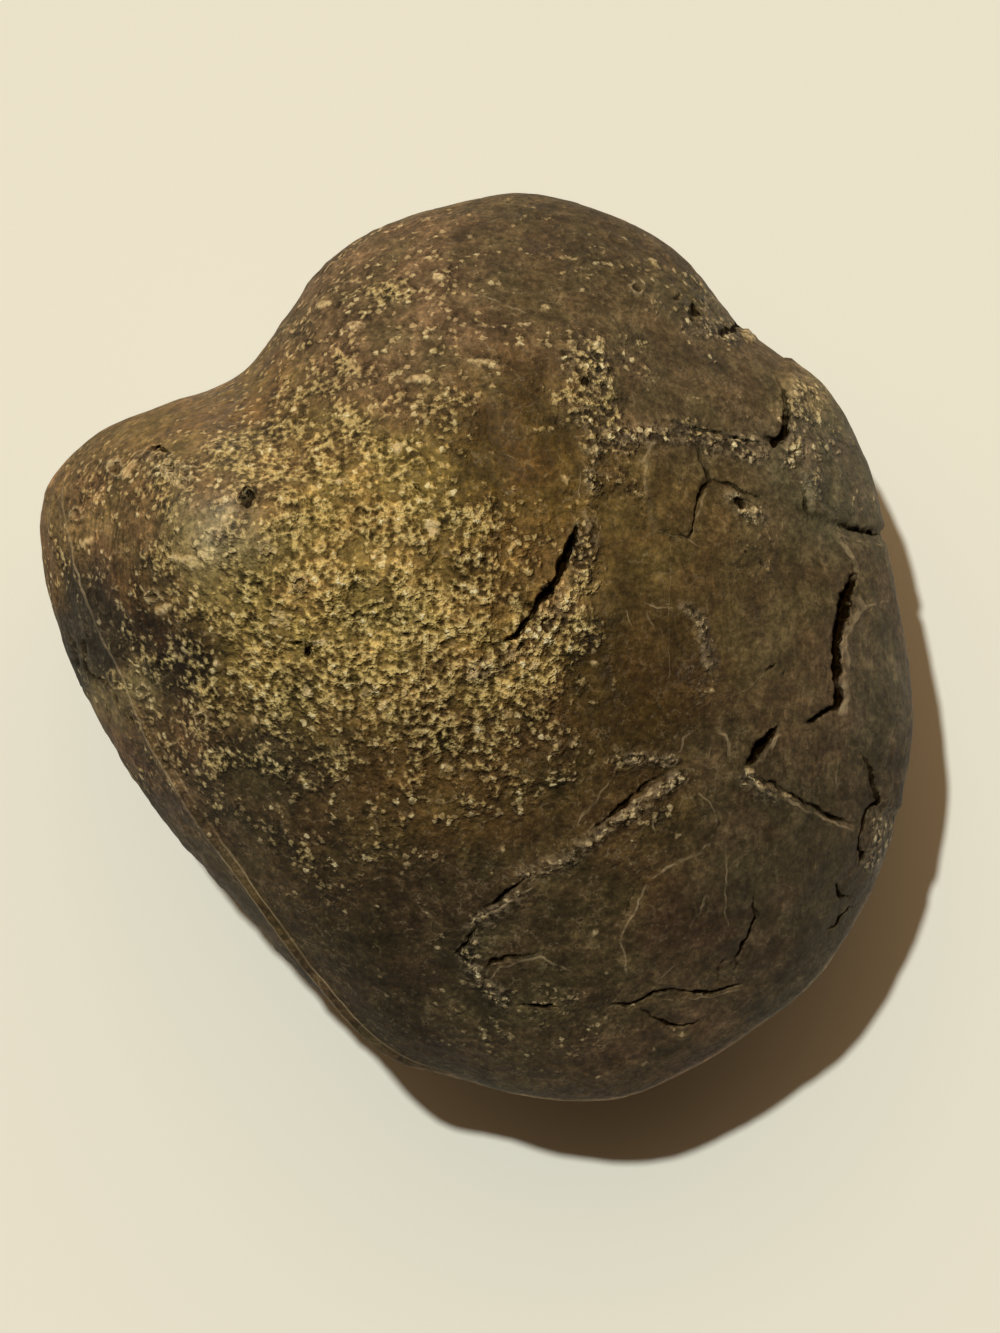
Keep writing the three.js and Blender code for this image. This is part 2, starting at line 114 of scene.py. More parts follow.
# Cracks on the upper valve: plan position and half width at each bend.
CRACKS = {
    "heart": [(8.2, 10, 0.08), (8, 9.1, 0.34), (7.3, 7.6, 0.52), (6.9, 6.6, 0.44),
        (6.7, 5.6, 0.38), (6.1, 4.7, 0.5), (5.2, 3.9, 0.4), (4.6, 2.9, 0.3), (3.9, 1.9, 0.26),
        (3.1, 0.9, 0.27), (2.1, 0.5, 0.2), (0.9, -0.1, 0.1)],
    "above heart": [(8.2, 10, 0.08), (8, 11, 0.08), (7.7, 12.4, 0.08), (8.1, 13.4, 0.04)],
    "margin": [(30, 5.8, 0.2), (29.7, 5, 0.42), (29.3, 4, 0.46), (29, 2.3, 0.52),
        (28.7, 1.4, 0.42), (28.6, 0.1, 0.26), (28.6, -1.7, 0.36), (28.7, -3.3, 0.26),
        (28.8, -4, 0.28), (28.6, -4.8, 0.26), (27.7, -5, 0.32), (26.9, -5.7, 0.32),
        (26.4, -6, 0.06)],
    "slit": [(24.1, -6.2, 0.12), (23.2, -7.2, 0.38), (22.5, -8, 0.42), (21.9, -8.9, 0.36),
        (21.5, -9.3, 0.08)],
    "upper": [(24.1, 21.6, 0.06), (24.5, 20.3, 0.17), (24.7, 18.9, 0.17), (24.5, 17.5, 0.26),
        (24.3, 16.7, 0.42), (23.8, 16.4, 0.48), (23.2, 16.7, 0.2)],
    "broken line": [(22.9, 16.2, 0.08), (21.6, 16.5, 0.17), (20.5, 16.7, 0.16),
        (19.6, 17.2, 0.12), (17.8, 17.5, 0.17), (16.5, 17.7, 0.12), (14.8, 18.2, 0.06)],
    "plate edge": [(21.4, -9.8, 0.08), (22.3, -10.4, 0.13), (23.5, -10.6, 0.13),
        (24.3, -11.2, 0.17), (25.6, -11.9, 0.16), (27.1, -12.7, 0.17), (28.1, -13.3, 0.25),
        (29, -13.6, 0.17), (30, -13.9, 0.06)],
    "rim": [(30.7, -8.3, 0.08), (31.4, -9.8, 0.2), (31.6, -11.2, 0.2), (31.9, -12.2, 0.2),
        (31.1, -12.9, 0.17), (30.7, -14.2, 0.13), (30.3, -15, 0.13), (30.6, -16.2, 0.17),
        (30.4, -17.3, 0.08)],
    "step": [(28.6, 9.9, 0.06), (29.4, 9.6, 0.18), (30.4, 9.3, 0.22), (31.2, 9.1, 0.22),
        (32, 9, 0.1)],
    "short": [(26.1, 12.7, 0.08), (26.2, 11.3, 0.17), (26.5, 10.1, 0.08)],
    "oval right": [(17.4, 15.8, 0.08), (17.7, 14.9, 0.13), (18.5, 13.9, 0.2), (18.7, 13.4, 0.17),
        (18, 12.6, 0.2), (17.6, 11.6, 0.17), (17.3, 10.3, 0.16), (17.2, 9.3, 0.16),
        (16.9, 8.8, 0.12), (15.1, 9, 0.08)],
    "ledge": [(18.7, 13.5, 0.12), (20, 13.1, 0.17), (21, 12.6, 0.17), (22.8, 11.9, 0.08)],
    "dash": [(24, -1.1, 0.06), (23.5, -1.5, 0.2), (23.1, -1.9, 0.06)],
    "second dash": [(24.7, -1.6, 0.06), (24.4, -2.2, 0.13)],
    "middle": [(15, -10, 0.08), (13.6, -10.8, 0.17), (11.8, -12.4, 0.2), (10.5, -13.5, 0.17),
        (9.2, -14.5, 0.06)],
    "ring": [(19.2, -13.2, 0.04), (19.5, -13.9, 0.09), (19.1, -14.8, 0.04)],
    "oval low": [(13.3, -18.2, 0.03), (12.6, -19.4, 0.08), (12.3, -20.5, 0.08),
        (11.6, -21.9, 0.03)],
    "bottom": [(10.5, -28.4, 0.06), (12.4, -28.2, 0.17), (13.5, -27.7, 0.2), (14.2, -27.3, 0.22),
        (15.8, -27.1, 0.17), (18.4, -27.3, 0.2), (19.7, -27, 0.17), (21.3, -26.6, 0.06)],
    "below bottom": [(13.1, -28.6, 0.08), (14.1, -29.3, 0.17), (15.5, -29.8, 0.17),
        (16.6, -30, 0.13), (17.9, -29.6, 0.06)],
    "left of bottom": [(3.4, -28.4, 0.06), (4.7, -28.4, 0.17), (5.8, -28.5, 0.17),
        (6.9, -28.5, 0.06)],
    "thin right": [(22, -19.5, 0.06), (22.2, -21.3, 0.17), (21.6, -22.7, 0.17),
        (20.9, -24.2, 0.17), (20.6, -25.7, 0.06)],
    "branch": [(19.7, -24.7, 0.12), (19.3, -25.5, 0.12), (19.2, -26.5, 0.06)],
    "low left": [(4.3, -18.2, 0.06), (3.1, -18.9, 0.18), (2.2, -19.7, 0.2), (1.1, -20.4, 0.16),
        (0.3, -20.8, 0.06)],
    "low left end": [(0.3, -21.9, 0.06), (-0.4, -22.9, 0.2), (-0.9, -23.7, 0.2),
        (-1.9, -24.7, 0.06)],
    "low arc": [(5, -24.2, 0.06), (3.9, -24.4, 0.14), (2.5, -24.6, 0.2), (1.3, -24.9, 0.18),
        (0.8, -25.8, 0.06)],
    "low rim": [(28.6, -18.7, 0.12), (28.9, -19.6, 0.24), (29.5, -19.7, 0.08)],
    "lowest rim": [(29.8, -20.4, 0.06), (28.9, -21.3, 0.17), (28.1, -22.3, 0.08)],
    "notch": [(21.3, 26.1, 0.12), (20.8, 25.6, 0.32), (20.3, 25.1, 0.2), (19.8, 25.1, 0.06)],
    "beak slit": [(-25.9, 15.8, 0.08), (-25.2, 16, 0.26), (-24.3, 15.7, 0.08)],
    "gash": [(-15.3, 0.4, 0.08), (-14.3, 0.4, 0.2), (-13.3, 0.2, 0.2), (-12.3, 0.6, 0.08)],
    "gash foot": [(-13.5, 0.4, 0.24), (-13.2, -0.3, 0.32), (-13.5, -0.8, 0.12)],
    "nick": [(-5, 13.3, 0.06), (-4.6, 12.7, 0.17), (-4.2, 12.1, 0.08)],
}
DEPTH_PER_HALF_WIDTH = 2.8
DEEPEST_CRACK = 1.7
CRACK_SINK = 0.08  # of the stone beside a crack

# Thin pale lines, painted highlights where edges of shell and burrs of scratches catch the light,
# on a low ridge: half width and points.
PAINTED_HIGHLIGHT_LINES = {
    "margin": (0.3, [(30.1, 4.3), (30.4, 3), (29.7, 1.9), (29.2, 1), (29.1, -0.3), (29.3, -1.7),
        (29.2, -3), (29.3, -4), (29, -5.5)]),
    "slit": (0.18, [(24.2, -6.6), (23.7, -7.6), (23.3, -8.3), (22.6, -9.2)]),
    "fan left": (0.07, [(16.2, -8.3), (16.6, -7.1), (17.3, -6.5)]),
    "fan middle": (0.06, [(18.8, -7.6), (18.4, -9)]),
    "fan right": (0.17, [(19.1, -6.4), (19.8, -6.9), (20.1, -7.6), (20.3, -8.5), (21.1, -9.2)]),
    "arch": (0.05, [(23.1, -1.8), (21.8, -3.2), (20.3, -3.9), (20.3, -5.7)]),
    "middle top": (0.14, [(11.6, -8.9), (12.6, -9.1), (14.1, -8.8), (15.8, -9.5)]),
    "middle left": (0.1, [(11.6, -9), (10.8, -10.4), (9.5, -12.2), (8.4, -13.4), (8, -14.3)]),
    "middle edge": (0.15, [(16.2, -10), (14.9, -10.6), (13.4, -11.7), (11.6, -13.2),
        (9.5, -14.7)]),
    "plate": (0.13, [(22.5, -11.1), (24, -11.7), (26, -12.7), (28.2, -13.8), (30.1, -14.5)]),
    "loop": (0.1, [(14.3, -15), (14.1, -13.9), (14.6, -12.9), (15.9, -12.5)]),
    "ring": (0.09, [(17.6, -11.4), (18.6, -12.2), (19.3, -13.6), (18.9, -15), (17.9, -16)]),
    "oval low": (0.1, [(18.1, -16.1), (16.3, -16.8), (14.6, -17.8), (13.5, -18.9), (12.8, -20.6),
        (11.9, -22.3), (11.5, -23.3), (12, -24.8), (12, -26)]),
    "stroke": (0.08, [(18.6, -19.3), (17.7, -21), (17, -22.2)]),
    "upright stroke": (0.08, [(19.9, -15.4), (19.9, -17.6), (19.8, -21), (20.1, -22.4)]),
    "long stroke": (0.06, [(17.5, -23.3), (16.4, -24.4), (15.2, -25.6), (14.5, -26.3)]),
    "bottom": (0.07, [(14.5, -27.8), (17.3, -27.8), (19.3, -27.6), (21.1, -27)]),
    "low arc": (0.1, [(1.1, -26.3), (1.9, -25.4), (3.3, -24.9), (5.3, -24.5), (6.2, -25.1),
        (7.8, -25.7)]),
    "low left": (0.12, [(4.8, -18.9), (3.4, -19.6), (1.8, -20.8), (0.9, -21.2)]),
    "oval left": (0.1, [(14.1, 16.4), (13.5, 15.1), (13.4, 13.6), (13.6, 11.9)]),
    "oval foot": (0.07, [(14, 9.3), (15.6, 9), (16.9, 8.7), (17.8, 7.9)]),
    "oval edge": (0.12, [(18.4, 12.7), (18, 11.4), (17.4, 9.6), (17.1, 8.6)]),
    "step": (0.12, [(28.4, 9.2), (30, 8.6), (32.2, 8.1)]),
    "upper": (0.09, [(24.9, 15.4), (25.8, 14.8), (26.5, 13.9)]),
    "top line": (0.08, [(-0.9, 28.1), (0.8, 27.9), (2.5, 27.2), (4.2, 26.6)]),
    "top stroke": (0.07, [(10, 28.5), (10.8, 27.8), (11.7, 26.6)]),
    "right edge": (0.08, [(29, -8.1), (28.7, -9.4), (28.6, -11)]),
    "right stroke": (0.06, [(26.2, -8.1), (27, -9.2), (27.6, -10.3)]),
    "margin top": (0.14, [(28.6, 9.1), (29.2, 8.1), (30, 6.9), (30.2, 5.9)]),
    "right middle": (0.12, [(29.7, 3.7), (30.8, 3.2), (32.8, 3.7)]),
    "centre scratch": (0.04, [(15.6, 8.5), (15.5, 6), (15.4, -2.6)]),
    "upper right rim": (0.15, [(17.5, 29.8), (18.2, 28.8), (18.4, 27.6), (17.9, 26.2)]),
    "above heart": (0.07, [(8.4, 14.2), (8.3, 13), (8.3, 11.8)]),
    "below the oval": (0.1, [(13.2, 3.7), (14.4, 3.1), (15.4, 3.3), (16, 3.1)]),
    "short stroke": (0.08, [(12, 3.2), (12.5, 1.6)]),
    "next stroke": (0.08, [(13.6, 2.9), (14.4, 1.2)]),
    "hook": (0.1, [(17.1, 3.9), (17.5, 4.3), (18, 5)]),
    "left of the heart": (0.05, [(2.2, 15.5), (4, 14.6), (5.6, 14.4)]),
}
LINE_RELIEF = 0.06
SEAM_LINE = 0.20  # half width
SEAM_RIDGE = 0.25

# Crumbly bands, where the shell has flaked and pale grains show: points and half width.
CRUMBS = [
    ([(8.9, 9.6), (8.6, 7.6), (8, 6.2), (7.6, 4.9), (6.9, 3.8), (6.1, 2.6), (5.3, 1.4),
      (4.2, 0.3)], 1.1),
    ([(4.2, 0.3), (1.9, -1.1), (0, -1.9)], 0.9),
    ([(8.6, 19), (10.2, 17.4), (11.6, 16.4), (14.5, 17.2), (18, 16.8), (22.5, 15.6)], 1),
    ([(9.6, 16.6), (9.3, 14.6), (9.4, 12.8)], 0.5),
    ([(7.6, 22.8), (8.6, 23.8), (9.9, 22.6), (9.6, 20.8), (9.4, 18.8)], 0.9),
    ([(24.9, 15), (25.6, 17.8), (25.4, 20.5)], 0.7),
    ([(21.6, -10.4), (22.6, -11.4), (23.4, -11.6)], 0.55),
    ([(20.6, 12), (21.4, 10.8), (22.6, 10.4)], 0.6),
    ([(17, 25.6), (19, 25.4), (20.4, 24.8)], 0.7),
    ([(-0.2, -22.6), (-0.6, -24.4), (0.4, -26.6), (2.2, -28)], 0.7),
    ([(3.2, -19.8), (1.4, -21), (0.2, -22)], 0.6),
    ([(16.4, -10.2), (13.2, -12.6), (9.8, -14.8), (7.4, -16.8), (4, -18)], 0.5),
    ([(12.4, -8.8), (15.6, -8.8)], 0.4),
    ([(-26, 15), (-24.6, 14.6), (-23, 14)], 1),
    ([(16.7, 3.3), (17.8, 2.4), (18.3, 0.6), (18.8, -1.2)], 0.3),
    ([(32.6, -13.2), (32.2, -15.2), (31.4, -17)], 0.8),
]

# Pale chips: plan position, half length, half width, heading of the long way in degrees.
CHIPS = [
    (-22.8, 6.9, 1.5, 0.45, -12), (-21.6, 7.4, 0.6, 0.4, 30), (-24.8, 3.1, 0.6, 0.45, 20),
    (-15.5, 2.3, 0.8, 0.55, -30), (-13.3, -3.4, 0.5, 0.45, 0), (-12.4, 0.5, 0.55, 0.25, 10),
    (0, -1.9, 0.85, 0.35, 55), (4.6, -1.4, 0.5, 0.3, 40), (18.6, -3.3, 0.28, 0.22, 0),
    (9.6, -22.6, 0.25, 0.22, 0), (2.2, -16, 0.28, 0.22, 0), (21.8, -9.8, 0.4, 0.3, 30),
    (22.6, -10.8, 0.45, 0.35, -20), (24.6, -11.6, 0.4, 0.2, -30), (21.9, 10.9, 0.8, 0.22, -8),
    (21.6, 24.8, 0.5, 0.25, -50), (-2.9, 29.4, 0.5, 0.35, -10), (0.9, 22.6, 1.5, 0.25, -6),
    (-4.6, 21.4, 0.9, 0.3, 12), (-9.4, 25.6, 0.8, 0.25, 5), (-12, 27.2, 0.7, 0.25, 20),
    (-6.2, 16, 0.5, 0.4, 0), (-3.4, 9.6, 0.55, 0.5, 20), (-10.6, 13.2, 0.35, 0.3, 0),
    (-24.2, 13.6, 1.3, 0.3, -40), (-27.4, 14.2, 0.9, 0.25, 60), (-30.9, 8.4, 0.7, 0.3, 20),
    # The small chips on the beak, from (-21.8, 8.8) to (-19.3, 12.4), are pale specks for the
    # sparkles of its highlight: painted highlight.
    (-21.5, 10.8, 0.25, 0.2, 0), (-20.6, 11.5, 0.2, 0.2, 0), (-19.9, 10.2, 0.28, 0.2, 40),
    (-20.9, 9.5, 0.2, 0.2, 0), (-19.3, 11.1, 0.22, 0.2, 0), (-21.8, 9.9, 0.2, 0.15, 0),
    (-20.4, 8.8, 0.25, 0.15, 30), (-20.1, 12.4, 0.2, 0.15, 0), (-2.2, -9.6, 0.6, 0.3, 10),
    (5.6, 27, 0.4, 0.3, 20), (14.2, 30.6, 0.5, 0.2, -30), (7.2, 13.4, 0.35, 0.25, 60),
    (9.4, 15.6, 0.4, 0.25, 80), (-17.6, -5.6, 0.4, 0.4, 0), (-7.4, -4.6, 0.5, 0.35, 30),
    (2.6, -5.2, 0.4, 0.35, 0), (-20.4, -1.2, 0.4, 0.35, 0), (8, -7.2, 0.5, 0.15, 70),
    (9.5, -1.3, 0.35, 0.2, -30), (21.7, 24.7, 0.6, 0.35, -40),
]

CHIP_HEIGHT = 0.14

# Plates of shell that stand proud of the stone: thickness and outline.
PLATES = {
    "lower right": (0.13, [
        (19.2, -15.2), (21.6, -12.4), (21.9, -10.4), (23.5, -11), (25.8, -12.1),
        (28.1, -13.5), (30, -14.2), (42, -16), (34, -34), (20, -42), (12, -40),
        (11.2, -30), (11.3, -27), (11.9, -25.6), (11.3, -23.4), (12.5, -21.2),
        (13.1, -19.4), (15, -17.4), (17.7, -16.3)]),
    "right": (0.22, [
        (28.9, -4.6), (28.8, -1), (28.9, 1.8), (29.5, 4.4), (30.2, 6.2), (29.4, 8),
        (32.2, 8.4), (42, 7), (42, -13), (31.8, -12.6), (31.5, -10.6), (30.8, -8.3),
        (29.4, -7)]),
    "upper right": (0.35, [
        (24.6, 22.4), (24.8, 19.6), (24.6, 17), (25.6, 15.2), (26.3, 12.6),
        (26.6, 10.6), (28.4, 10), (30.4, 9.5), (42, 9.4), (40, 26), (26, 34)]),
    "upper middle": (0.25, [
        (14.2, 9.2), (13.6, 12), (13.5, 14.6), (14.2, 16.8), (17.3, 16.4),
        (18.3, 13.8), (17.6, 12.2), (17.2, 9.4)]),
}
LOST_EDGE = (12, -40, 13)  # plan position and reach: plates are worn away there

# Small round rings in the crust: plan position and radius.
RINGS = [
    (-32.4, 7.6, 0.5), (-28.5, 14.2, 0.6), (-24.1, 14.3, 0.6), (-22.9, 13.9, 0.5),
    (-25.6, 4.1, 0.45), (-13.8, 5.1, 0.5), (-31.6, 10.6, 0.45), (-26.3, -3.4, 0.5),
    (-16.7, 7.9, 0.45), (-8.6, -3.2, 0.5), (-21.6, -5.6, 0.45), (12.9, 28.6, 0.5),
]
RING_WALL = 0.16
RING_HOLE = 0.10

# Pits: plan position, half width, depth.
PITS = [
    (-18, 12, 0.75, 1.1), (8.7, 21.2, 0.4, 0.4), (17.3, 26.7, 0.6, 0.7), (16.1, 27.9, 0.35, 0.35),
    (19.8, 25.2, 0.5, 0.5), (21, 11.6, 0.55, 0.7), (6.9, 23.4, 0.3, 0.2), (10.6, 22, 0.3, 0.2),
    (5.4, 4.8, 0.36, 0.45), (4.4, 3.4, 0.3, 0.4), (2.9, 1.4, 0.25, 0.35), (2.2, 0.1, 0.3, 0.35),
    (3.5, 0, 0.26, 0.3), (21.4, 7.6, 0.2, 0.3), (22.8, 6.7, 0.18, 0.3), (3.7, 0.2, 0.28, 0.4),
    (12.6, -11.3, 0.2, 0.25),
]
PIT_RIM = 0.12

FLAT_FADE = 1.2  # height over which the relief fades in above the resting flat

# ------------------------------------------------------------------ colour zones

# Ground colour of the stone: name, plan position, reach, colour as the eye names it
# (red, green and blue from 0 to 255 in daylight).
GROUND = [
    ("crown", -10, 6, 9, (134, 112, 62)),
    ("crown right", 3, 8, 7, (106, 83, 42)),
    ("behind the crown", 3, 16, 5, (68, 50, 18)),
    ("beak", -20, 12, 5, (130, 111, 76)),
    # A pale spot painted on the beak for the light's shine there: painted highlight.
    ("beak's painted highlight", -20.3, 10.2, 2, (148, 138, 118)),
    ("right of the crack", 7.5, 4.5, 2, (150, 123, 77)),
    ("below the crack", 3.5, -0.5, 2.5, (158, 127, 74)),
    ("purplish oval", 16, -22, 3, (66, 50, 36)),
    ("behind the beak", -20, 18, 5, (103, 80, 44)),
    ("beak tip", -27, 12, 3, (96, 77, 48)),
    ("orange rim", -32, 11, 3, (118, 94, 62)),
    ("brown rim", -34.6, 6, 2, (112, 86, 50)),
    ("grey patch", -31.4, 5.4, 2.1, (46, 40, 31)),
    ("grey patch's foot", -30.2, 0.8, 2.1, (50, 43, 33)),
    ("fibrous brown", -27.5, 6, 2.5, (76, 55, 33)),
    ("pale heap", -27, -3, 2, (120, 104, 72)),
    ("reddish brown", -25, -8, 3, (84, 64, 42)),
    ("lower valve's edge", -26, -13, 3, (70, 58, 42)),
    ("greenish grey", -17, -10, 3, (68, 58, 38)),
    ("purple brown", -24, -0.5, 3, (29, 15, 10)),
    ("top left lobe", -7, 26, 7, (102, 84, 60)),
    ("top", 6, 32, 6, (80, 66, 45)),
    ("top right", 16, 24, 7, (84, 71, 49)),
    ("right of the heart", 16, 4, 7, (82, 66, 38)),
    ("olive middle", 13, -3, 6, (52, 36, 10)),
    ("right plate", 25, 0, 6, (86, 72, 50)),
    ("right margin", 31, -2, 4, (86, 76, 60)),
    ("flaked patch", 8.7, 20.6, 2, (122, 101, 64)),
    ("upper right rim", 19, 28, 1.3, (122, 106, 78)),
    ("upper right margin", 29, 13, 5, (92, 83, 63)),
    ("pale edge", 25.4, 19.6, 1.4, (150, 130, 96)),
    ("lower right", 26, -18, 7, (73, 62, 45)),
    ("fan", 22, -9, 4, (80, 66, 47)),
    ("middle", 10, -12, 6, (77, 60, 34)),
    ("bottom", 14, -31, 5, (85, 69, 49)),
    ("lower middle", 5, -24, 6, (71, 60, 40)),
    ("lower left", -4, -22, 6, (58, 47, 31)),
    ("below the crown", -4, -10, 6, (86, 66, 34)),
    ("left flank", -14, -14, 6, (66, 52, 32)),
    ("left edge", -21, -15, 3, (76, 62, 44)),
]
GROUND_UNDER = (88, 74, 54)  # of the lower valve, all over
DARKER_UNDER = (70, 58, 42)

# Where the fine ochre grain lies thickly: plan position, reach, strength.
GRAIN = [
    (-18, 15, 5, 0.9), (-10, 18, 5, 0.8), (-14, 10, 6, 1), (-6, 12, 6, 1), (0, 9, 5, 0.8),
    (-20, 4, 5, 0.75), (-12, 2, 6, 1), (-4, 3, 6, 1), (2, 3, 4, 0.8), (7, 1, 3.5, 0.7),
    (-18, -4, 5, 0.8), (-10, -6, 6, 0.9), (-2, -4, 6, 1), (4, -4, 4, 0.7), (0, -11, 4, 0.4),
    (-6, -12, 4, 0.35), (-14, -12, 4, 0.25), (6, -8, 4, 0.3), (-25, 6, 3, 0.8), (-24, 0, 4, 0.7),
    (-24, -6, 4, 0.6), (-25, 13, 3, 0.75), (-30, 12, 4, 0.65), (-32, 6, 3, 0.65),
    (-28, -2, 3, 0.75), (-26, -10, 3, 0.45), (-20, -9, 3, 0.6), (-17, -13, 3.5, 0.3),
    (-12, -18, 4, 0.25), (-22, -12, 2.5, 0.35), (-14, 22, 4, 0.6), (-9, 25, 5, 0.5),
    (-11, 29, 5, 0.4), (-4, 30, 5, 0.45), (1, 27, 5, 0.25), (-3, 20, 3, 0.5), (1, 22, 3, 0.45),
    (8.3, 22.8, 2.2, 0.9), (10, 19, 2.2, 0.9), (7.2, 20, 1.6, 0.8), (9.2, 21.4, 2, 0.3),
    (11.4, 17.4, 1.6, 0.45), (14.2, 16.9, 1.2, 0.35), (18.2, 17, 1.2, 0.3), (6.5, 18.5, 2, 0.45),
    (10.2, 15.5, 2, 0.6), (9.6, 12, 1.6, 0.5), (1, 33, 5, 0.2), (28, 17, 2.5, 0.45),
    (29.5, 11.5, 2, 0.4), (26.2, 19.5, 1.5, 0.6), (27, 13.2, 1.2, 0.6), (19, 26.5, 3, 0.4),
    (8, 31, 5, 0.2), (14, 29, 5, 0.2), (18, 18, 4, 0.25), (12, 23, 4, 0.25),
    (8.8, 8.4, 1.1, 0.95), (8.6, 6.4, 1.2, 0.95), (7.6, 4.2, 1.3, 0.95), (6.3, 2.2, 1.4, 0.95),
    (4.6, 0.2, 1.8, 0.95), (3, 7.5, 3, 0.3), (11.5, -9.4, 1.5, 0.35), (14, -14, 3, 0.3),
    (9, -30, 5, 0.2), (2, -30, 5, 0.15), (16, -30.5, 3, 0.2), (22, 8, 3, 0.25), (21, 3, 3, 0.2),
    (26, 18, 4, 0.2), (13, 12, 2, 0.3), (18, -3, 2, 0.3), (16.5, 28, 1.8, 0.55),
    (19.2, 29, 1.5, 0.5), (-4, -27, 6, 0.14), (6, -31, 6, 0.12), (-9, -18, 5, 0.2),
    (0, -20, 5, 0.15),
]
PEBBLE_HEIGHT = 0.10  # in the grain
ROLL_HEIGHT = 0.16
POCK_DEPTH = 0.22
LUMPIEST = (-27, 1, 8)  # plan position and reach: the grain is coarser there

# Where the surface is worn smooth and shines a little: plan position, reach, strength.
POLISH = [
    (26, -18, 8, 1), (30, -2, 6, 1), (22, 0, 7, 0.8), (16, 4, 6, 0.6), (17, -21, 5, 0.8),
    (28, 13, 5, 0.7), (-20, 18, 4, 0.7), (16, 24, 7, 0.5), (3, 17, 4, 0.4), (4, 32, 6, 0.3),
    (14, -3, 5, 0.5), (-20.5, 10.8, 3, 0.9),
]

# Where fine upright streaks show on the shell: plan position, reach, strength.
STREAKY = [
    (29, -2, 4, 0.5), (27, -10, 4, 0.45), (24, -19, 6, 0.25), (23, 3, 5, 0.2), (22, -9, 3, 0.4),
    (17, 0, 4, 0.2), (20, -22, 5, 0.2), (-28, 7, 4, 1), (-30, 12, 3, 0.5), (-29, 0, 3, 0.6),
]

# ------------------------------------------------------------------ mesh size

TRIANGLES = 186000
# Edge length wanted in each place, before all are scaled to give that many triangles.
EDGE_UNDER = 0.75
EDGE_TOP = 0.40
EDGE_GRAINY = 0.25
EDGE_SEAM = 0.24
EDGE_CRUMBLY = 0.17
EDGE_LINE = 0.20
EDGE_CRACK = 0.10
EDGE_GROWTH = 0.5  # with each millimetre off a crack or a pit
SEAM_SEEN_LEFT_OF = 2  # further right the seam is hidden from above
TRIANGLE_SHARE = 0.167  # area of a mean triangle, in squares of the wanted edge
START_DETAIL = 6
REFINE_ROUNDS = 9

# ------------------------------------------------------------------ camera, light, floor

CAMERA_TARGET = (1.96, -1.52, 17)
CAMERA_DISTANCE = 600
FRAME_HEIGHT = 105.8  # seen at the target's height
SENSOR = 36
LIGHT_FROM = (-0.22, 0.34, 1.0)
SUN_ANGLE = 2.2  # degrees
SUN_STRENGTH = 2.42
SUN_COLOUR = (0.975, 1.0, 0.90)
SKY_LOW = (0.055, 0.034, 0.018)  # away from the brighter side of the room
SKY_HIGH = (1.04, 0.68, 0.35)  # towards it
SKY_BRIGHT_SIDE = (-0.14, 0.85, 0.42)
FLOOR_COLOUR = (0.855, 0.85, 0.80)
FLOOR_SIZE = 2.4  # metres


# ------------------------------------------------------------------ noise and lines

def noise(points, size, seed):
    """Smooth noise from about -1 to 1, with bumps about `size` across."""
    random = np.random.default_rng(seed)
    slopes = random.normal(size=(256, 3))
    slopes /= np.linalg.norm(slopes, axis=1)[:, None]
    shuffle = random.permutation(256)
    cell = np.floor(points / size).astype(int)
    part = points / size - cell
    fade = part ** 3 * (part * (part * 6 - 15) + 10)
    total = np.zeros(len(points))
    for corner in itertools.product((0, 1), repeat=3):
        x, y, z = ((cell + corner) & 255).T
        slope = slopes[shuffle[(shuffle[(shuffle[x] + y) & 255] + z) & 255]]
        weight = np.where(corner, fade, 1 - fade).prod(axis=1)
        total += weight * ((part - corner) * slope).sum(axis=1)
    return 1.7 * total


def layered(points, size, seed, layers=3):
    """Noise with smaller and weaker bumps on its bumps."""
    sizes = [size / 2 ** i for i in range(layers)]
    total = sum(noise(points, s, seed + i) * s for i, s in enumerate(sizes))
    return total / sum(sizes) * 1.4


def ramp(values, low, high):
    """0 at `low`, 1 at `high` and a smooth rise between."""
    share = np.clip((values - low) / (high - low), 0, 1)
    return share * share * (3 - 2 * share)


def bell(values, width):
    return np.exp(-(values / width) ** 2)


def away_from(plan, spot):
    """Distance of plan points from a spot."""
    return np.hypot(*(plan - spot).T)


def heading_of(plan):
    """Heading of plan points as seen from the crown."""
    return np.arctan2(*(plan - CROWN).T[::-1])


def near_line(plan, line, within):
    """Distance from plan points to a line, the side, and the line's other values there.

    The side is 1 on the line's left and -1 on its right. Points further off than
    `within` are given that distance.
    """
    line = np.array(line, float)
    distance = np.full(len(plan), float(within))
    side = np.ones(len(plan))
    values = np.zeros((len(plan), line.shape[1] - 2))
    low, high = line[:, :2].min(0) - within, line[:, :2].max(0) + within
    inside = np.flatnonzero(((plan > low) & (plan < high)).all(axis=1))
    spots = plan[inside]
    for start, end in zip(line, line[1:]):
        way = end[:2] - start[:2]
        away = spots - start[:2]
        share = np.clip(away @ way / (way @ way), 0, 1)
        here = np.hypot(*(away - share[:, None] * way).T)
        nearer = here < distance[inside]
        at = inside[nearer]
        distance[at] = here[nearer]
        side[at] = np.where(away @ (-way[1], way[0]) < 0, -1, 1)[nearer]
        values[at] = (start[2:] + share[:, None] * (end[2:] - start[2:]))[nearer]
    return distance, side, values


def with_faint_ends(line):
    """The line with one more value, 0 at its ends and 1 from 0.5 mm inside them."""
    points = np.array(line, float)
    for _ in range(2):
        way = points[1] - points[0]
        inner = points[0] + way * min(0.5, 0.5 / np.hypot(*way[:2]))
        points = np.concatenate([points[:1], [inner], points[1:]])[::-1]
    strength = np.ones(len(points))
    strength[[0, -1]] = 0
    return np.column_stack([points, strength])


def as_seen(points):
    """Plan positions at the waist's height, in line with the points as seen from above."""
    nearness = CAMERA_DISTANCE / (CAMERA_DISTANCE + WAIST_HEIGHT - points[:, 2])
    middle = CAMERA_TARGET[:2]
    return middle + (points[:, :2] - middle) * nearness[:, None]


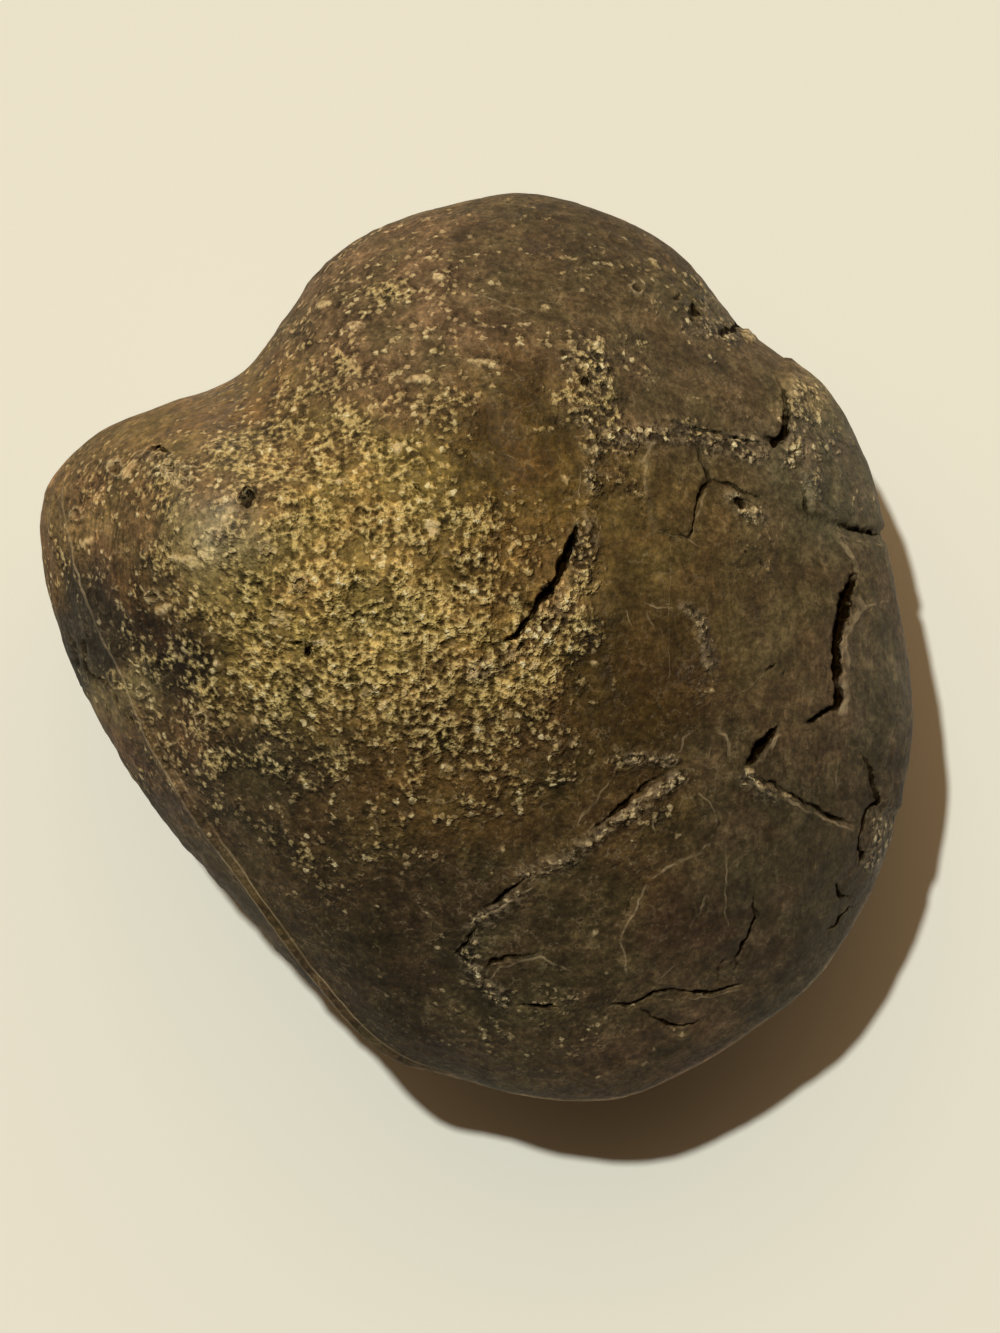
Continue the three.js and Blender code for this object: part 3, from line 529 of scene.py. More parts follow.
def inside_outline(plan, corners):
    """Whether each plan point is inside a polygon."""
    x, y = plan.T
    inside = np.zeros(len(plan), bool)
    for (x0, y0), (x1, y1) in zip(corners, corners[1:] + corners[:1]):
        if y0 != y1:
            inside ^= ((y0 > y) != (y1 > y)) & (x < x0 + (y - y0) * (x1 - x0) / (y1 - y0))
    return inside


def spread_over(plan, spots):
    """How far soft round spots cover each point: plan position, reach, strength."""
    bare = np.ones(len(plan))
    for x, y, reach, strength in spots:
        bare *= 1 - strength * bell(away_from(plan, (x, y)), reach)
    return 1 - bare


# ------------------------------------------------------------------ shape of the domes

def closed_curve(corners, steps):
    """Points on a closed centripetal Catmull-Rom curve through the corners."""
    corners = np.array(corners, float)
    points = []
    for i in range(len(corners)):
        a, b, c, d = (corners[(i + step) % len(corners)] for step in (-1, 0, 1, 2))
        gaps = [math.sqrt(math.dist(*pair)) for pair in ((a, b), (b, c), (c, d))]
        knot = np.cumsum([0] + gaps)
        at = np.linspace(knot[1], knot[2], steps, endpoint=False)[:, None]

        def between(p, q, i, j):
            return ((knot[j] - at) * p + (at - knot[i]) * q) / (knot[j] - knot[i])

        early = between(between(a, b, 0, 1), between(b, c, 1, 2), 0, 2)
        late = between(between(b, c, 1, 2), between(c, d, 2, 3), 1, 3)
        points.append(between(early, late, 1, 2))
    return np.concatenate(points)


RIM = closed_curve(OUTLINE, 20) - CROWN
RIM_HEADING = np.arctan2(RIM[:, 1], RIM[:, 0])
RIM_REACH = np.hypot(RIM[:, 0], RIM[:, 1])


def edge_reach(heading):
    """Distance from the crown to the outline."""
    return np.interp(heading, RIM_HEADING, RIM_REACH, period=TURN)


ROUND = np.radians(np.arange(-180, 180))
BLUR = np.radians(np.arange(-3 * CREASE_BLUR, 3 * CREASE_BLUR + 1, 4))
BLUR_WEIGHT = np.exp(-(BLUR / math.radians(CREASE_BLUR)) ** 2 / 2)
SMOOTH_REACH = edge_reach(ROUND[:, None] + BLUR) @ BLUR_WEIGHT / BLUR_WEIGHT.sum()


def seam_share(heading):
    """Share of the dome's height at which the seam runs."""
    degrees, share = zip(*SEAM_COURSE)
    turns = [np.interp(np.degrees(heading) % 360 + step, degrees, share, period=360)
             for step in (-2 * SEAM_BLUR, -SEAM_BLUR, 0, SEAM_BLUR, 2 * SEAM_BLUR)]
    return np.mean(turns, axis=0)


def swelling(bumps, plan):
    return sum(height * np.exp(-((plan - (x, y)) ** 2).sum(1) / (2 * spread ** 2))
               for x, y, height, spread in bumps)


def lumps(plan):
    return sum(height * np.sin(TURN * (plan @ along) / length + phase)
               for along, length, height, phase in LUMPS)


def skin(direction):
    """Points of the two domes for unit directions, and how far over the seam they are."""
    up = direction[:, 2] > 0
    roundness = np.where(up, UPPER_ROUNDNESS, LOWER_ROUNDNESS)
    level = np.hypot(direction[:, 0], direction[:, 1]) ** (2 / roundness)
    share = np.sign(direction[:, 2]) * np.abs(direction[:, 2]) ** (2 / roundness)
    heading = np.arctan2(direction[:, 1], direction[:, 0])
    edge = edge_reach(heading)
    inner = np.interp(heading, ROUND, SMOOTH_REACH, period=TURN)
    distance = level * edge
    for _ in range(6):
        near = np.minimum(1, distance / edge) ** CREASE_FADE
        reach = inner + (edge - inner) * near
        distance = level * reach
    plan = CROWN + distance[:, None] * np.stack([np.cos(heading), np.sin(heading)], 1)
    rise = UPPER_RISE + swelling(UPPER_SWELLINGS, plan) + lumps(plan)
    drop = LOWER_DROP + swelling(LOWER_SWELLINGS, plan) + lumps(plan[:, ::-1])
    dome = np.where(up, rise, drop)
    steepness = (np.abs(share) / np.maximum(level, 0.05)) ** (roundness - 1)
    over_seam = (share - seam_share(heading)) * np.hypot(dome, reach * steepness)
    return np.column_stack([plan, WAIST_HEIGHT + dome * share]), over_seam


# ------------------------------------------------------------------ fine mesh

def edge_wanted(direction):
    """Edge length wanted at each direction, before scaling."""
    points, over_seam = skin(direction)
    plan = as_seen(points)
    above = points[:, 2] > WAIST_HEIGHT - 2
    wanted = np.where(above, EDGE_TOP, EDGE_UNDER)
    wanted -= above * (EDGE_TOP - EDGE_GRAINY) * ramp(spread_over(plan, GRAIN), 0.25, 0.8)

    def refined(where, length):
        return np.where(above & where, np.minimum(wanted, length), wanted)

    for line, half_width in CRUMBS:
        distance, *_ = near_line(plan, line, 3)
        wanted = refined(distance < half_width + 0.3, EDGE_CRUMBLY)
    for _, corners in PLATES.values():
        distance, *_ = near_line(plan, corners + corners[:1], 2)
        wanted = refined((distance < 0.3) & (np.hypot(*plan.T) < 36), EDGE_CRUMBLY)
    for _, line in PAINTED_HIGHLIGHT_LINES.values():
        distance, *_ = near_line(plan, line, 2)
        wanted = refined(distance < 0.6, EDGE_LINE)
    for line in CRACKS.values():
        distance, _, half_width = near_line(plan, line, 2)
        off = np.maximum(0, distance - half_width[:, 0] - 0.2)
        wanted = refined(True, EDGE_CRACK + EDGE_GROWTH * off)
    wanted = refined((plan[:, 0] < SEAM_SEEN_LEFT_OF) & (np.abs(over_seam) < 1.6), EDGE_SEAM)
    for x, y, half_length, *_ in CHIPS:
        wanted = refined(away_from(plan, (x, y)) < half_length + 0.3, EDGE_CRUMBLY)
    for x, y, radius in RINGS:
        wanted = refined(away_from(plan, (x, y)) < radius + 0.3, EDGE_CRACK)
    for x, y, half_width, _ in PITS:
        off = np.maximum(0, away_from(plan, (x, y)) - half_width * 1.2)
        wanted = refined(True, EDGE_CRACK + EDGE_GROWTH * off)
    return wanted


def split(faces, marked, edge_of_side, middle_of):
    """Split each face through the middles of its marked edges.

    Side i of a face runs from its corner i to the next. Side 0 is its longest,
    and is marked wherever another side is.
    """
    a, b, c = faces.T
    hit = marked[edge_of_side]
    m, n, k = (middle_of[edge_of_side[:, side]] for side in range(3))
    none = ~hit[:, 0]
    only = hit[:, 0] & ~hit[:, 1] & ~hit[:, 2]
    right = hit[:, 0] & hit[:, 1] & ~hit[:, 2]
    left = hit[:, 0] & ~hit[:, 1] & hit[:, 2]
    every = hit.all(axis=1)
    pieces = [faces[none]]
    for which, triangles in (
        (only, ((a, m, c), (m, b, c))),
        (right, ((a, m, c), (m, b, n), (m, n, c))),
        (left, ((m, b, c), (a, m, k), (m, c, k))),
        (every, ((a, m, k), (m, b, n), (m, n, c), (m, c, k))),
    ):
        pieces += [np.column_stack(corners)[which] for corners in triangles]
    return np.concatenate(pieces)


def refine(direction, faces):
    """Split the sphere's faces until each is as fine as wanted where it lies."""
    points, _ = skin(direction)
    wanted = edge_wanted(direction)
    corners = points[faces]
    area = np.linalg.norm(np.cross(corners[:, 1] - corners[:, 0], corners[:, 2] - corners[:, 0]),
                          axis=1) / 2
    middle = direction[faces].mean(axis=1)
    middle /= np.linalg.norm(middle, axis=1)[:, None]
    needed = (area / (TRIANGLE_SHARE * edge_wanted(middle) ** 2)).sum()
    scale = math.sqrt(needed / TRIANGLES)
    for _ in range(REFINE_ROUNDS):
        sides = np.stack([faces, np.roll(faces, -1, axis=1)], axis=2).reshape(-1, 2)
        low, high = sides.min(axis=1), sides.max(axis=1)
        keys, edge_of_side = np.unique(low * len(points) + high, return_inverse=True)
        edges = np.column_stack([keys // len(points), keys % len(points)])
        edge_of_side = edge_of_side.reshape(-1, 3)
        length = np.linalg.norm(points[edges[:, 0]] - points[edges[:, 1]], axis=1)
        marked = length > scale * wanted[edges].mean(axis=1)
        longest = length[edge_of_side].argmax(axis=1)
        turned = (longest[:, None] + (0, 1, 2)) % 3
        faces = np.take_along_axis(faces, turned, axis=1)
        edge_of_side = np.take_along_axis(edge_of_side, turned, axis=1)
        while True:
            left_out = marked[edge_of_side].any(axis=1) & ~marked[edge_of_side[:, 0]]
            if not left_out.any():
                break
            marked[edge_of_side[left_out, 0]] = True
        if not marked.any():
            break
        middle_of = np.full(len(edges), -1)
        middle_of[marked] = len(direction) + np.arange(marked.sum())
        faces = split(faces, marked, edge_of_side, middle_of)
        middle = direction[edges[marked]].mean(axis=1)
        middle /= np.linalg.norm(middle, axis=1)[:, None]
        direction = np.concatenate([direction, middle])
        points = np.concatenate([points, skin(middle)[0]])
        wanted = np.concatenate([wanted, edge_wanted(middle)])
    return direction, faces


def starting_sphere():
    sphere = bmesh.new()
    bmesh.ops.create_icosphere(sphere, subdivisions=START_DETAIL, radius=1)
    direction = np.array([vertex.co[:] for vertex in sphere.verts])
    faces = np.array([[vertex.index for vertex in face.verts] for face in sphere.faces])
    sphere.free()
    return direction / np.linalg.norm(direction, axis=1)[:, None], faces


def normals_of(points, faces):
    a, b, c = (points[faces[:, corner]] for corner in range(3))
    facing = np.cross(b - a, c - a)
    normals = np.zeros_like(points)
    for corner in range(3):
        for axis in range(3):
            normals[:, axis] += np.bincount(faces[:, corner], facing[:, axis], len(points))
    return normals / np.linalg.norm(normals, axis=1)[:, None]


# ------------------------------------------------------------------ relief and marks

def linear(colour):
    """Linear value of a colour given from 0 to 255."""
    share = np.array(colour, float) / 255
    return np.where(share <= 0.04045, share / 12.92, ((share + 0.055) / 1.055) ** 2.4)


class FineLines:
    """How far each point is off the nearest line, in half widths, with a side.

    The material draws the lines from it, finer than the mesh.
    """

    def __init__(self, count):
        self.off = np.full(count, 20.0)
        self.strength = np.zeros(count)

    def draw(self, off, half_width, strength):
        strength = strength * ramp(np.abs(off), 0.6 + half_width, 0.3 + half_width)
        nearer = (np.abs(off / half_width) < np.abs(self.off)) & (strength > 0)
        self.off[nearer] = (off / half_width)[nearer]
        self.strength[nearer] = strength[nearer]


class Surface:
    """The stone's skin with the height and the marks that are laid on it."""

    def __init__(self, points, over_seam):
        self.points = points
        self.over_seam = over_seam
        self.plan = as_seen(points)
        self.upper = ramp(over_seam, -0.5, 0.8)
        self.height = np.zeros(len(points))  # along the normal
        self.drop = np.zeros(len(points))  # straight down
        self.gap = np.zeros(len(points))
        self.chip = np.zeros(len(points))
        self.off_crack = FineLines(len(points))
        self.off_line = FineLines(len(points))
        self.crumb = np.zeros(len(points))
        self.pale_seam = np.zeros(len(points))
        cover = spread_over(self.plan, GRAIN) * ramp(points[:, 2] - WAIST_HEIGHT, -2, 1)
        patches = 0.6 * layered(points, 4.5, 21) + 0.5 * noise(points, 1.6, 24)
        self.grain = np.clip(cover + 0.75 * patches * ramp(cover, 0, 0.35), 0, 1.1)
        self.polish = spread_over(self.plan, POLISH)
        self.streak = spread_over(self.plan, STREAKY)
        wobble = np.column_stack([noise(points, 0.9, 31), noise(points, 0.9, 32)])
        jags = np.column_stack([noise(points, 0.4, 33), noise(points, 0.4, 34)])
        self.wobbly = self.plan + 0.15 * wobble + 0.06 * jags

    def noise(self, size, seed):
        return noise(self.points, size, seed)

    def layered(self, size, seed):
        return layered(self.points, size, seed)

    def plates(self):
        for i, (thickness, corners) in enumerate(PLATES.values()):
            line = corners + corners[:1]
            distance, *_ = near_line(self.wobbly, line, 3)
            inward = np.where(inside_outline(self.wobbly, corners), distance, -distance)
            faded = 1 - bell(away_from(self.plan, LOST_EDGE[:2]), LOST_EDGE[2])
            lifted = bell(inward - 0.3, 0.5) * (0.2 + 0.2 * self.noise(4, 90 + i))
            raised = ramp(inward, -0.2, 0.2) + lifted
            self.height += thickness * raised * self.upper * faded

    def cracks(self):
        rough = 1 + 0.35 * self.noise(1.3, 41) + 0.32 * self.noise(0.5, 42)
        for line in CRACKS.values():
            distance, side, values = near_line(self.wobbly, with_faint_ends(line), 3)
            half_width, strength = values.T
            half_width = np.maximum(half_width * rough, 0.03)
            depth = np.minimum(DEEPEST_CRACK, DEPTH_PER_HALF_WIDTH * half_width)
            cut = depth * ramp(1 - distance / half_width, 0, 0.6) * self.upper
            self.drop = np.maximum(self.drop, cut)
            self.height -= CRACK_SINK * bell(distance, 0.5 + half_width) * self.upper
            strength = strength * (0.15 + 0.85 * ramp(half_width, 0, 0.3)) * self.upper
            self.off_crack.draw(side * distance, half_width, strength)

    def painted_highlight_lines(self):
        # Pale lines painted as highlights where edges catch the light, on a low ridge.
        uneven = 0.55 + 0.8 * self.noise(2.1, 51) + 0.8 * self.noise(0.7, 52)
        uneven = np.clip(uneven, 0, 1) * self.upper
        for half_width, line in PAINTED_HIGHLIGHT_LINES.values():
            distance, side, values = near_line(self.wobbly, with_faint_ends(line), 2)
            strength = values[:, 0] * uneven * min(1, 0.55 + 2.2 * half_width)
            self.height += LINE_RELIEF * strength * bell(distance, half_width + 0.08)
            self.off_line.draw(side * distance, half_width, strength)

    def crumbs(self):
        coarse = self.noise(0.75, 61)
        fine = self.noise(0.4, 62)
        patchy = 0.85 + 0.5 * self.noise(2.2, 63) + 0.4 * self.noise(0.8, 64)
        for line, half_width in CRUMBS:
            distance, *_ = near_line(self.wobbly, line, half_width + 2)
            amount = ramp(distance, half_width + 0.5, half_width * 0.3) * np.clip(patchy, 0, 1)
            amount *= self.upper
            self.height += amount * (0.03 + 0.07 * coarse + 0.05 * fine)
            self.crumb = np.maximum(self.crumb, amount)
        self.grain = np.clip(self.grain + 0.35 * self.crumb, 0, 1.1)

    def chips(self):
        ragged = 0.3 * self.noise(0.5, 65)
        for x, y, half_length, half_width, heading in CHIPS:
            away = self.wobbly - (x, y)
            along = np.array([math.cos(math.radians(heading)), math.sin(math.radians(heading))])
            across = np.array([-along[1], along[0]])
            off = np.hypot(away @ along / half_length, away @ across / half_width) + ragged
            flat_top = ramp(off, 1.15, 0.75) * self.upper
            self.height += CHIP_HEIGHT * flat_top
            self.chip = np.maximum(self.chip, flat_top)

    def rings(self):
        for x, y, radius in RINGS:
            distance = away_from(self.wobbly, (x, y))
            wall = bell(distance - radius, 0.17) * self.upper
            hole = bell(distance, 0.55 * radius) * self.upper
            self.height += RING_WALL * wall - RING_HOLE * hole
            self.crumb = np.maximum(self.crumb, wall)
            self.chip = np.maximum(self.chip, 0.5 * wall)
            # The ring's hole is darkened: painted shade.
            self.gap = np.maximum(self.gap, 0.45 * hole)

    def pits(self):
        ragged = 0.5 * self.noise(0.8, 66) + 0.3 * self.noise(0.4, 67)
        for x, y, half_width, depth in PITS:
            distance = away_from(self.wobbly, (x, y)) / half_width + ragged
            bowl = np.clip(1 - distance ** 2, 0, 1)
            self.drop = np.maximum(self.drop, depth * bowl * self.upper)
            self.height += PIT_RIM * bell(distance - 1.25, 0.3) * self.upper * min(1, half_width)
            # The pit's bowl is darkened: painted shade, over the real shade of its depth.
            pit_shade = 0.9 * min(1, depth / 0.4) * self.upper
            self.gap = np.maximum(self.gap, pit_shade * ramp(bowl, 0.1, 0.8))

    def grains(self):
        """Pebbly relief, strongest where the ochre grain is thick."""
        pebbles = self.noise(0.75, 71) + 0.8 * self.noise(1.3, 72)
        rolling = self.layered(3.2, 73)
        pocked = ramp(self.noise(1.6, 76), 0.35, 0.9)
        coarse = 1 + 0.9 * bell(away_from(self.plan, LUMPIEST[:2]), LUMPIEST[2])
        crust = PEBBLE_HEIGHT * pebbles * coarse + ROLL_HEIGHT * rolling - POCK_DEPTH * pocked
        self.height += self.grain * crust
        worn = 0.045 * self.layered(1.6, 78) + 0.09 * self.layered(5, 79)
        pricks = ramp(self.noise(0.8, 77), 0.55, 0.9)
        self.height += (1 - self.grain) * (worn - 0.06 * pricks)

    def growth_lines(self):
        """Fine rings parallel to the outline, near the margins of both valves."""
        inward = away_from(self.plan, CROWN)
        from_edge = edge_reach(heading_of(self.plan)) - inward + 0.6 * self.noise(9, 81)
        rings = np.sin(TURN * from_edge / 0.85) + 0.6 * np.sin(TURN * from_edge / 2.3 + 1)
        strength = 0.028 * bell(from_edge, 9) * (1 - self.grain)
        self.height += rings * strength
        under = ramp(self.over_seam, -0.5, -2)
        from_beak = np.linalg.norm(self.points - LOWER_BEAK, axis=1)
        from_beak = from_beak + 0.8 * self.noise(10, 82)
        steps = np.sin(TURN * from_beak / 3.1) + 0.5 * np.sin(TURN * from_beak / 1.15)
        self.height += 0.05 * steps * under

    def seam(self):
        """A low ridge with two pale lines, plainest at the lower left."""
        heading = np.degrees(heading_of(self.points[:, :2])) % 360
        seen = ramp(heading, 150, 175) * ramp(heading, 285, 268)
        plain = ramp(heading, 190, 240) * ramp(heading, 285, 268)
        off = self.over_seam + 0.3 * self.noise(3.5, 85) + 0.1 * self.noise(1, 84)
        uneven = np.clip(0.75 + 0.6 * self.noise(2.5, 86), 0.2, 1)
        self.height += SEAM_RIDGE * (seen + plain) * bell(off + 0.5, 0.8)
        self.off_line.draw(off + 0.55, SEAM_LINE, seen * uneven)
        self.off_line.draw(0.5 - off, 0.7 * SEAM_LINE, plain * uneven)
        self.pale_seam = bell(off, 0.8) * plain * uneven

    def under_side(self):
        """Cracks and pits of the lower valve, which rests on the floor."""
        under = ramp(self.over_seam, -1, -3)
        web = np.abs(self.layered(11, 88))
        line = bell(web, 0.02) * under * ramp(self.noise(9, 89), -0.1, 0.4)
        self.height -= 0.3 * line
        # These cracks are darkened with painted shade.
        self.gap = np.maximum(self.gap, 0.8 * line)
        pocked = ramp(self.noise(2.2, 91), 0.5, 0.9) * under
        self.height -= 0.2 * pocked * ramp(self.noise(8, 92), -0.2, 0.5)
        self.height += 0.10 * self.layered(5, 93) * under

    def ground(self):
        """Linear ground colour at each point, with painted rim light along the lower right edge.
        """
        soft = self.plan + 1.6 * np.column_stack([self.noise(5, 95), self.noise(5, 96)])
        total = np.zeros((len(self.points), 3))
        weights = np.full(len(self.points), 1e-6)
        for _, x, y, reach, colour in GROUND:
            weight = np.exp(-((soft - (x, y)) ** 2).sum(1) / (2 * (0.7 * reach) ** 2))
            total += weight[:, None] * linear(colour)
            weights += weight
        above = total / weights[:, None]
        patch = ramp(self.noise(7, 97), -0.3, 0.4)[:, None]
        under = linear(GROUND_UNDER) * patch + linear(DARKER_UNDER) * (1 - patch)
        blend = ramp(self.points[:, 2] - WAIST_HEIGHT, -6, -1)[:, None]
        colour = above * blend + under * (1 - blend)
        mottled_and_rim_lit = 1 + 0.30 * self.noise(2.6, 98) + 0.20 * self.layered(1.3, 99)
        heading = np.degrees(heading_of(self.plan)) % 360
        # A pale band along the waist at the lower right, where the edge faces away from the sun:
        # painted light, for the floor's light that the edge catches there.
        off_rim_light = self.points[:, 2] - WAIST_HEIGHT - 0.6 + 0.3 * self.noise(2, 94)
        rim = ramp(np.abs(off_rim_light), 1.0, 0.4)
        rim *= ramp(heading, 262, 275) * ramp(heading, 340, 320)
        mottled_and_rim_lit *= 1 + 2 * rim + 0.9 * self.pale_seam
        return colour * mottled_and_rim_lit[:, None]


MARKS = ("grain", "gap", "crumb", "chip", "polish", "streak")  # that the material reads


def stone_mesh():
    direction, faces = refine(*starting_sphere())
    points, over_seam = skin(direction)
    normals = normals_of(points, faces)
    surface = Surface(points, over_seam)
    for lay in (surface.plates, surface.growth_lines, surface.grains, surface.crumbs,
                surface.painted_highlight_lines, surface.chips, surface.rings, surface.pits,
                surface.cracks, surface.seam, surface.under_side):
        lay()
    kept = ramp(points[:, 2], 0.2, 0.2 + FLAT_FADE)
    shaped = points + normals * (surface.height * kept)[:, None]
    shaped[:, 2] -= surface.drop * kept
    low, high = (np.array(corner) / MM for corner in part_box("fossil_clam"))
    bare_low, bare_high = points.min(0), points.max(0)
    shaped[:, :2] += ((low + high) / 2 - (bare_low + bare_high) / 2)[:2]
    shaped[:, 2] = np.maximum(shaped[:, 2], 0)
    mesh = bpy.data.meshes.new("fossil_clam_stone")
    mesh.from_pydata((shaped * MM).tolist(), [], faces.tolist())
    mesh.shade_smooth()
    marks = {name: getattr(surface, name) for name in MARKS}
    for name, lines in (("line", surface.off_line), ("crack", surface.off_crack)):
        marks |= {f"off_{name}": lines.off, name: lines.strength}
    for name, values in marks.items():
        mesh.attributes.new(name, "FLOAT", "POINT").data.foreach_set("value", values)
    ground = np.column_stack([surface.ground(), np.ones(len(points))])
    mesh.attributes.new("ground", "FLOAT_COLOR", "POINT").data.foreach_set("color", ground.ravel())
    return mesh


# ------------------------------------------------------------------ material

class Wiring:
    """Short calls for adding nodes to a material and joining them."""

    def __init__(self, owner):
        self.nodes = owner.node_tree.nodes
        self.links = owner.node_tree.links

    def add(self, kind, inputs, **settings):
        """A new node of this kind. Its inputs are values or the sockets that feed them."""
        node = self.nodes.new("ShaderNode" + kind)
        for name, value in settings.items():
            setattr(node, name, value)
        self.feed(node, inputs)
        return node

    def feed(self, node, inputs):
        for name, value in inputs.items():
            if isinstance(value, bpy.types.NodeSocket):
                self.links.new(value, node.inputs[name])
            else:
                node.inputs[name].default_value = value

    def attribute(self, name, output="Fac"):
        return self.add("Attribute", {}, attribute_name=name).outputs[output]

    def math(self, operation, a, b=0.0):
        return self.add("Math", {0: a, 1: b}, operation=operation).outputs[0]

    def times(self, a, b):
        return self.math("MULTIPLY", a, b)

    def weighed(self, *parts, start=0.0):
        """Start value plus each part times its weight."""
        total = start
        for value, weight in parts:
            inputs = {0: value, 1: weight, 2: total}
            total = self.add("Math", inputs, operation="MULTIPLY_ADD").outputs[0]
        return total

    def step(self, value, low, high):
        """0 at `low`, 1 at `high` and a smooth rise between."""
        inputs = {"Value": value, "From Min": low, "From Max": high}
        return self.add("MapRange", inputs, interpolation_type="SMOOTHSTEP").outputs["Result"]

    def blend(self, amount, a, b):
        return self.add("Mix", {0: amount, 2: a, 3: b}).outputs[0]

    def mix(self, amount, a, b, blend="MIX"):
        """A colour between two others, or with another blend."""
        inputs = {0: amount, 6: a, 7: b}
        return self.add("Mix", inputs, data_type="RGBA", blend_type=blend).outputs[2]

    def stretched(self, where, factors):
        return self.add("VectorMath", {0: where, 1: factors}, operation="MULTIPLY").outputs[0]

    def noise(self, where, size, detail=2.0, roughness=0.5, output="Fac"):
        """Noise from 0 to 1 with bumps about `size` millimetres across."""
        inputs = {"Vector": where, "Scale": 1 / (size * MM), "Detail": detail,
                  "Roughness": roughness}
        return self.add("TexNoise", inputs).outputs[output]

    def bent(self, where, size, amount):
        """The same place, moved about by noise."""
        inputs = {0: self.noise(where, size, output="Color"), 1: (amount * MM,) * 3, 2: where}
        return self.add("VectorMath", inputs, operation="MULTIPLY_ADD").outputs[0]

    def cells(self, where, size):
        """Grains about `size` millimetres across: distance from the middle, two lots drawn."""
        grains = self.add("TexVoronoi", {"Vector": where, "Scale": 1 / (size * MM)})
        lots = self.add("SeparateColor", {"Color": grains.outputs["Color"]})
        return grains.outputs["Distance"], lots.outputs["Red"], lots.outputs["Green"]

    def fine_line(self, off, strength, jitter, width):
        """Where a line runs, from the mesh's distance off it in half widths."""
        off = self.math("ABSOLUTE", self.attribute(off))
        off = self.weighed((off, 1.0), (jitter, 1.2), start=-0.6)
        return self.times(self.step(off, 1.3 * width, 0.75 * width), self.attribute(strength))


# Sizes of the noise, from the finest.
SPECK_SIZE = 0.25
FLECK_SIZE = 0.42
STREAK_SIZE = 0.5
FINE_SIZE = 0.55
SCRATCH_SIZE = 0.6
WISP_SIZE = 1.1
CLUMP_SIZE = 1.4
CLOUD_SIZE = 3.0
HUE_SIZE = 5.0
BUMP_HEIGHT = 1.5  # of the shader's relief at a height of 1
HOLLOW_SHADE_SHARE = (0.28, 0.27, 0.27, 1)  # of the ground's colour, between the grains: painted shade in their hollows, with the darker stone there
RAISED_LIGHT_SHARE = (2.3, 2.3, 2.4, 1)  # on top of them: painted light on their tops, with their paler colour; also under the pale chips and lines
PALE_GRAIN = (0.62, 0.50, 0.22, 1)
BRIGHT_GRAIN = (0.80, 0.72, 0.46, 1)
CREAM = (0.34, 0.27, 0.17, 1)
CHIP_COLOUR = (0.62, 0.49, 0.27, 1)
GREENISH = (0.95, 1.02, 0.96, 1)
REDDISH = (1.04, 0.98, 1.00, 1)
STREAK_STRETCH = (2.2, 0.25, 1.0)  # squeezes noise into upright streaks
SCRATCH_STRETCH = (2.4, 0.16, 1.0)
# Near black in cracks, pits and ring holes: painted shade, over the real shade of their depth.
GAP_SHADE_COLOUR = (0.010, 0.005, 0.001, 1)


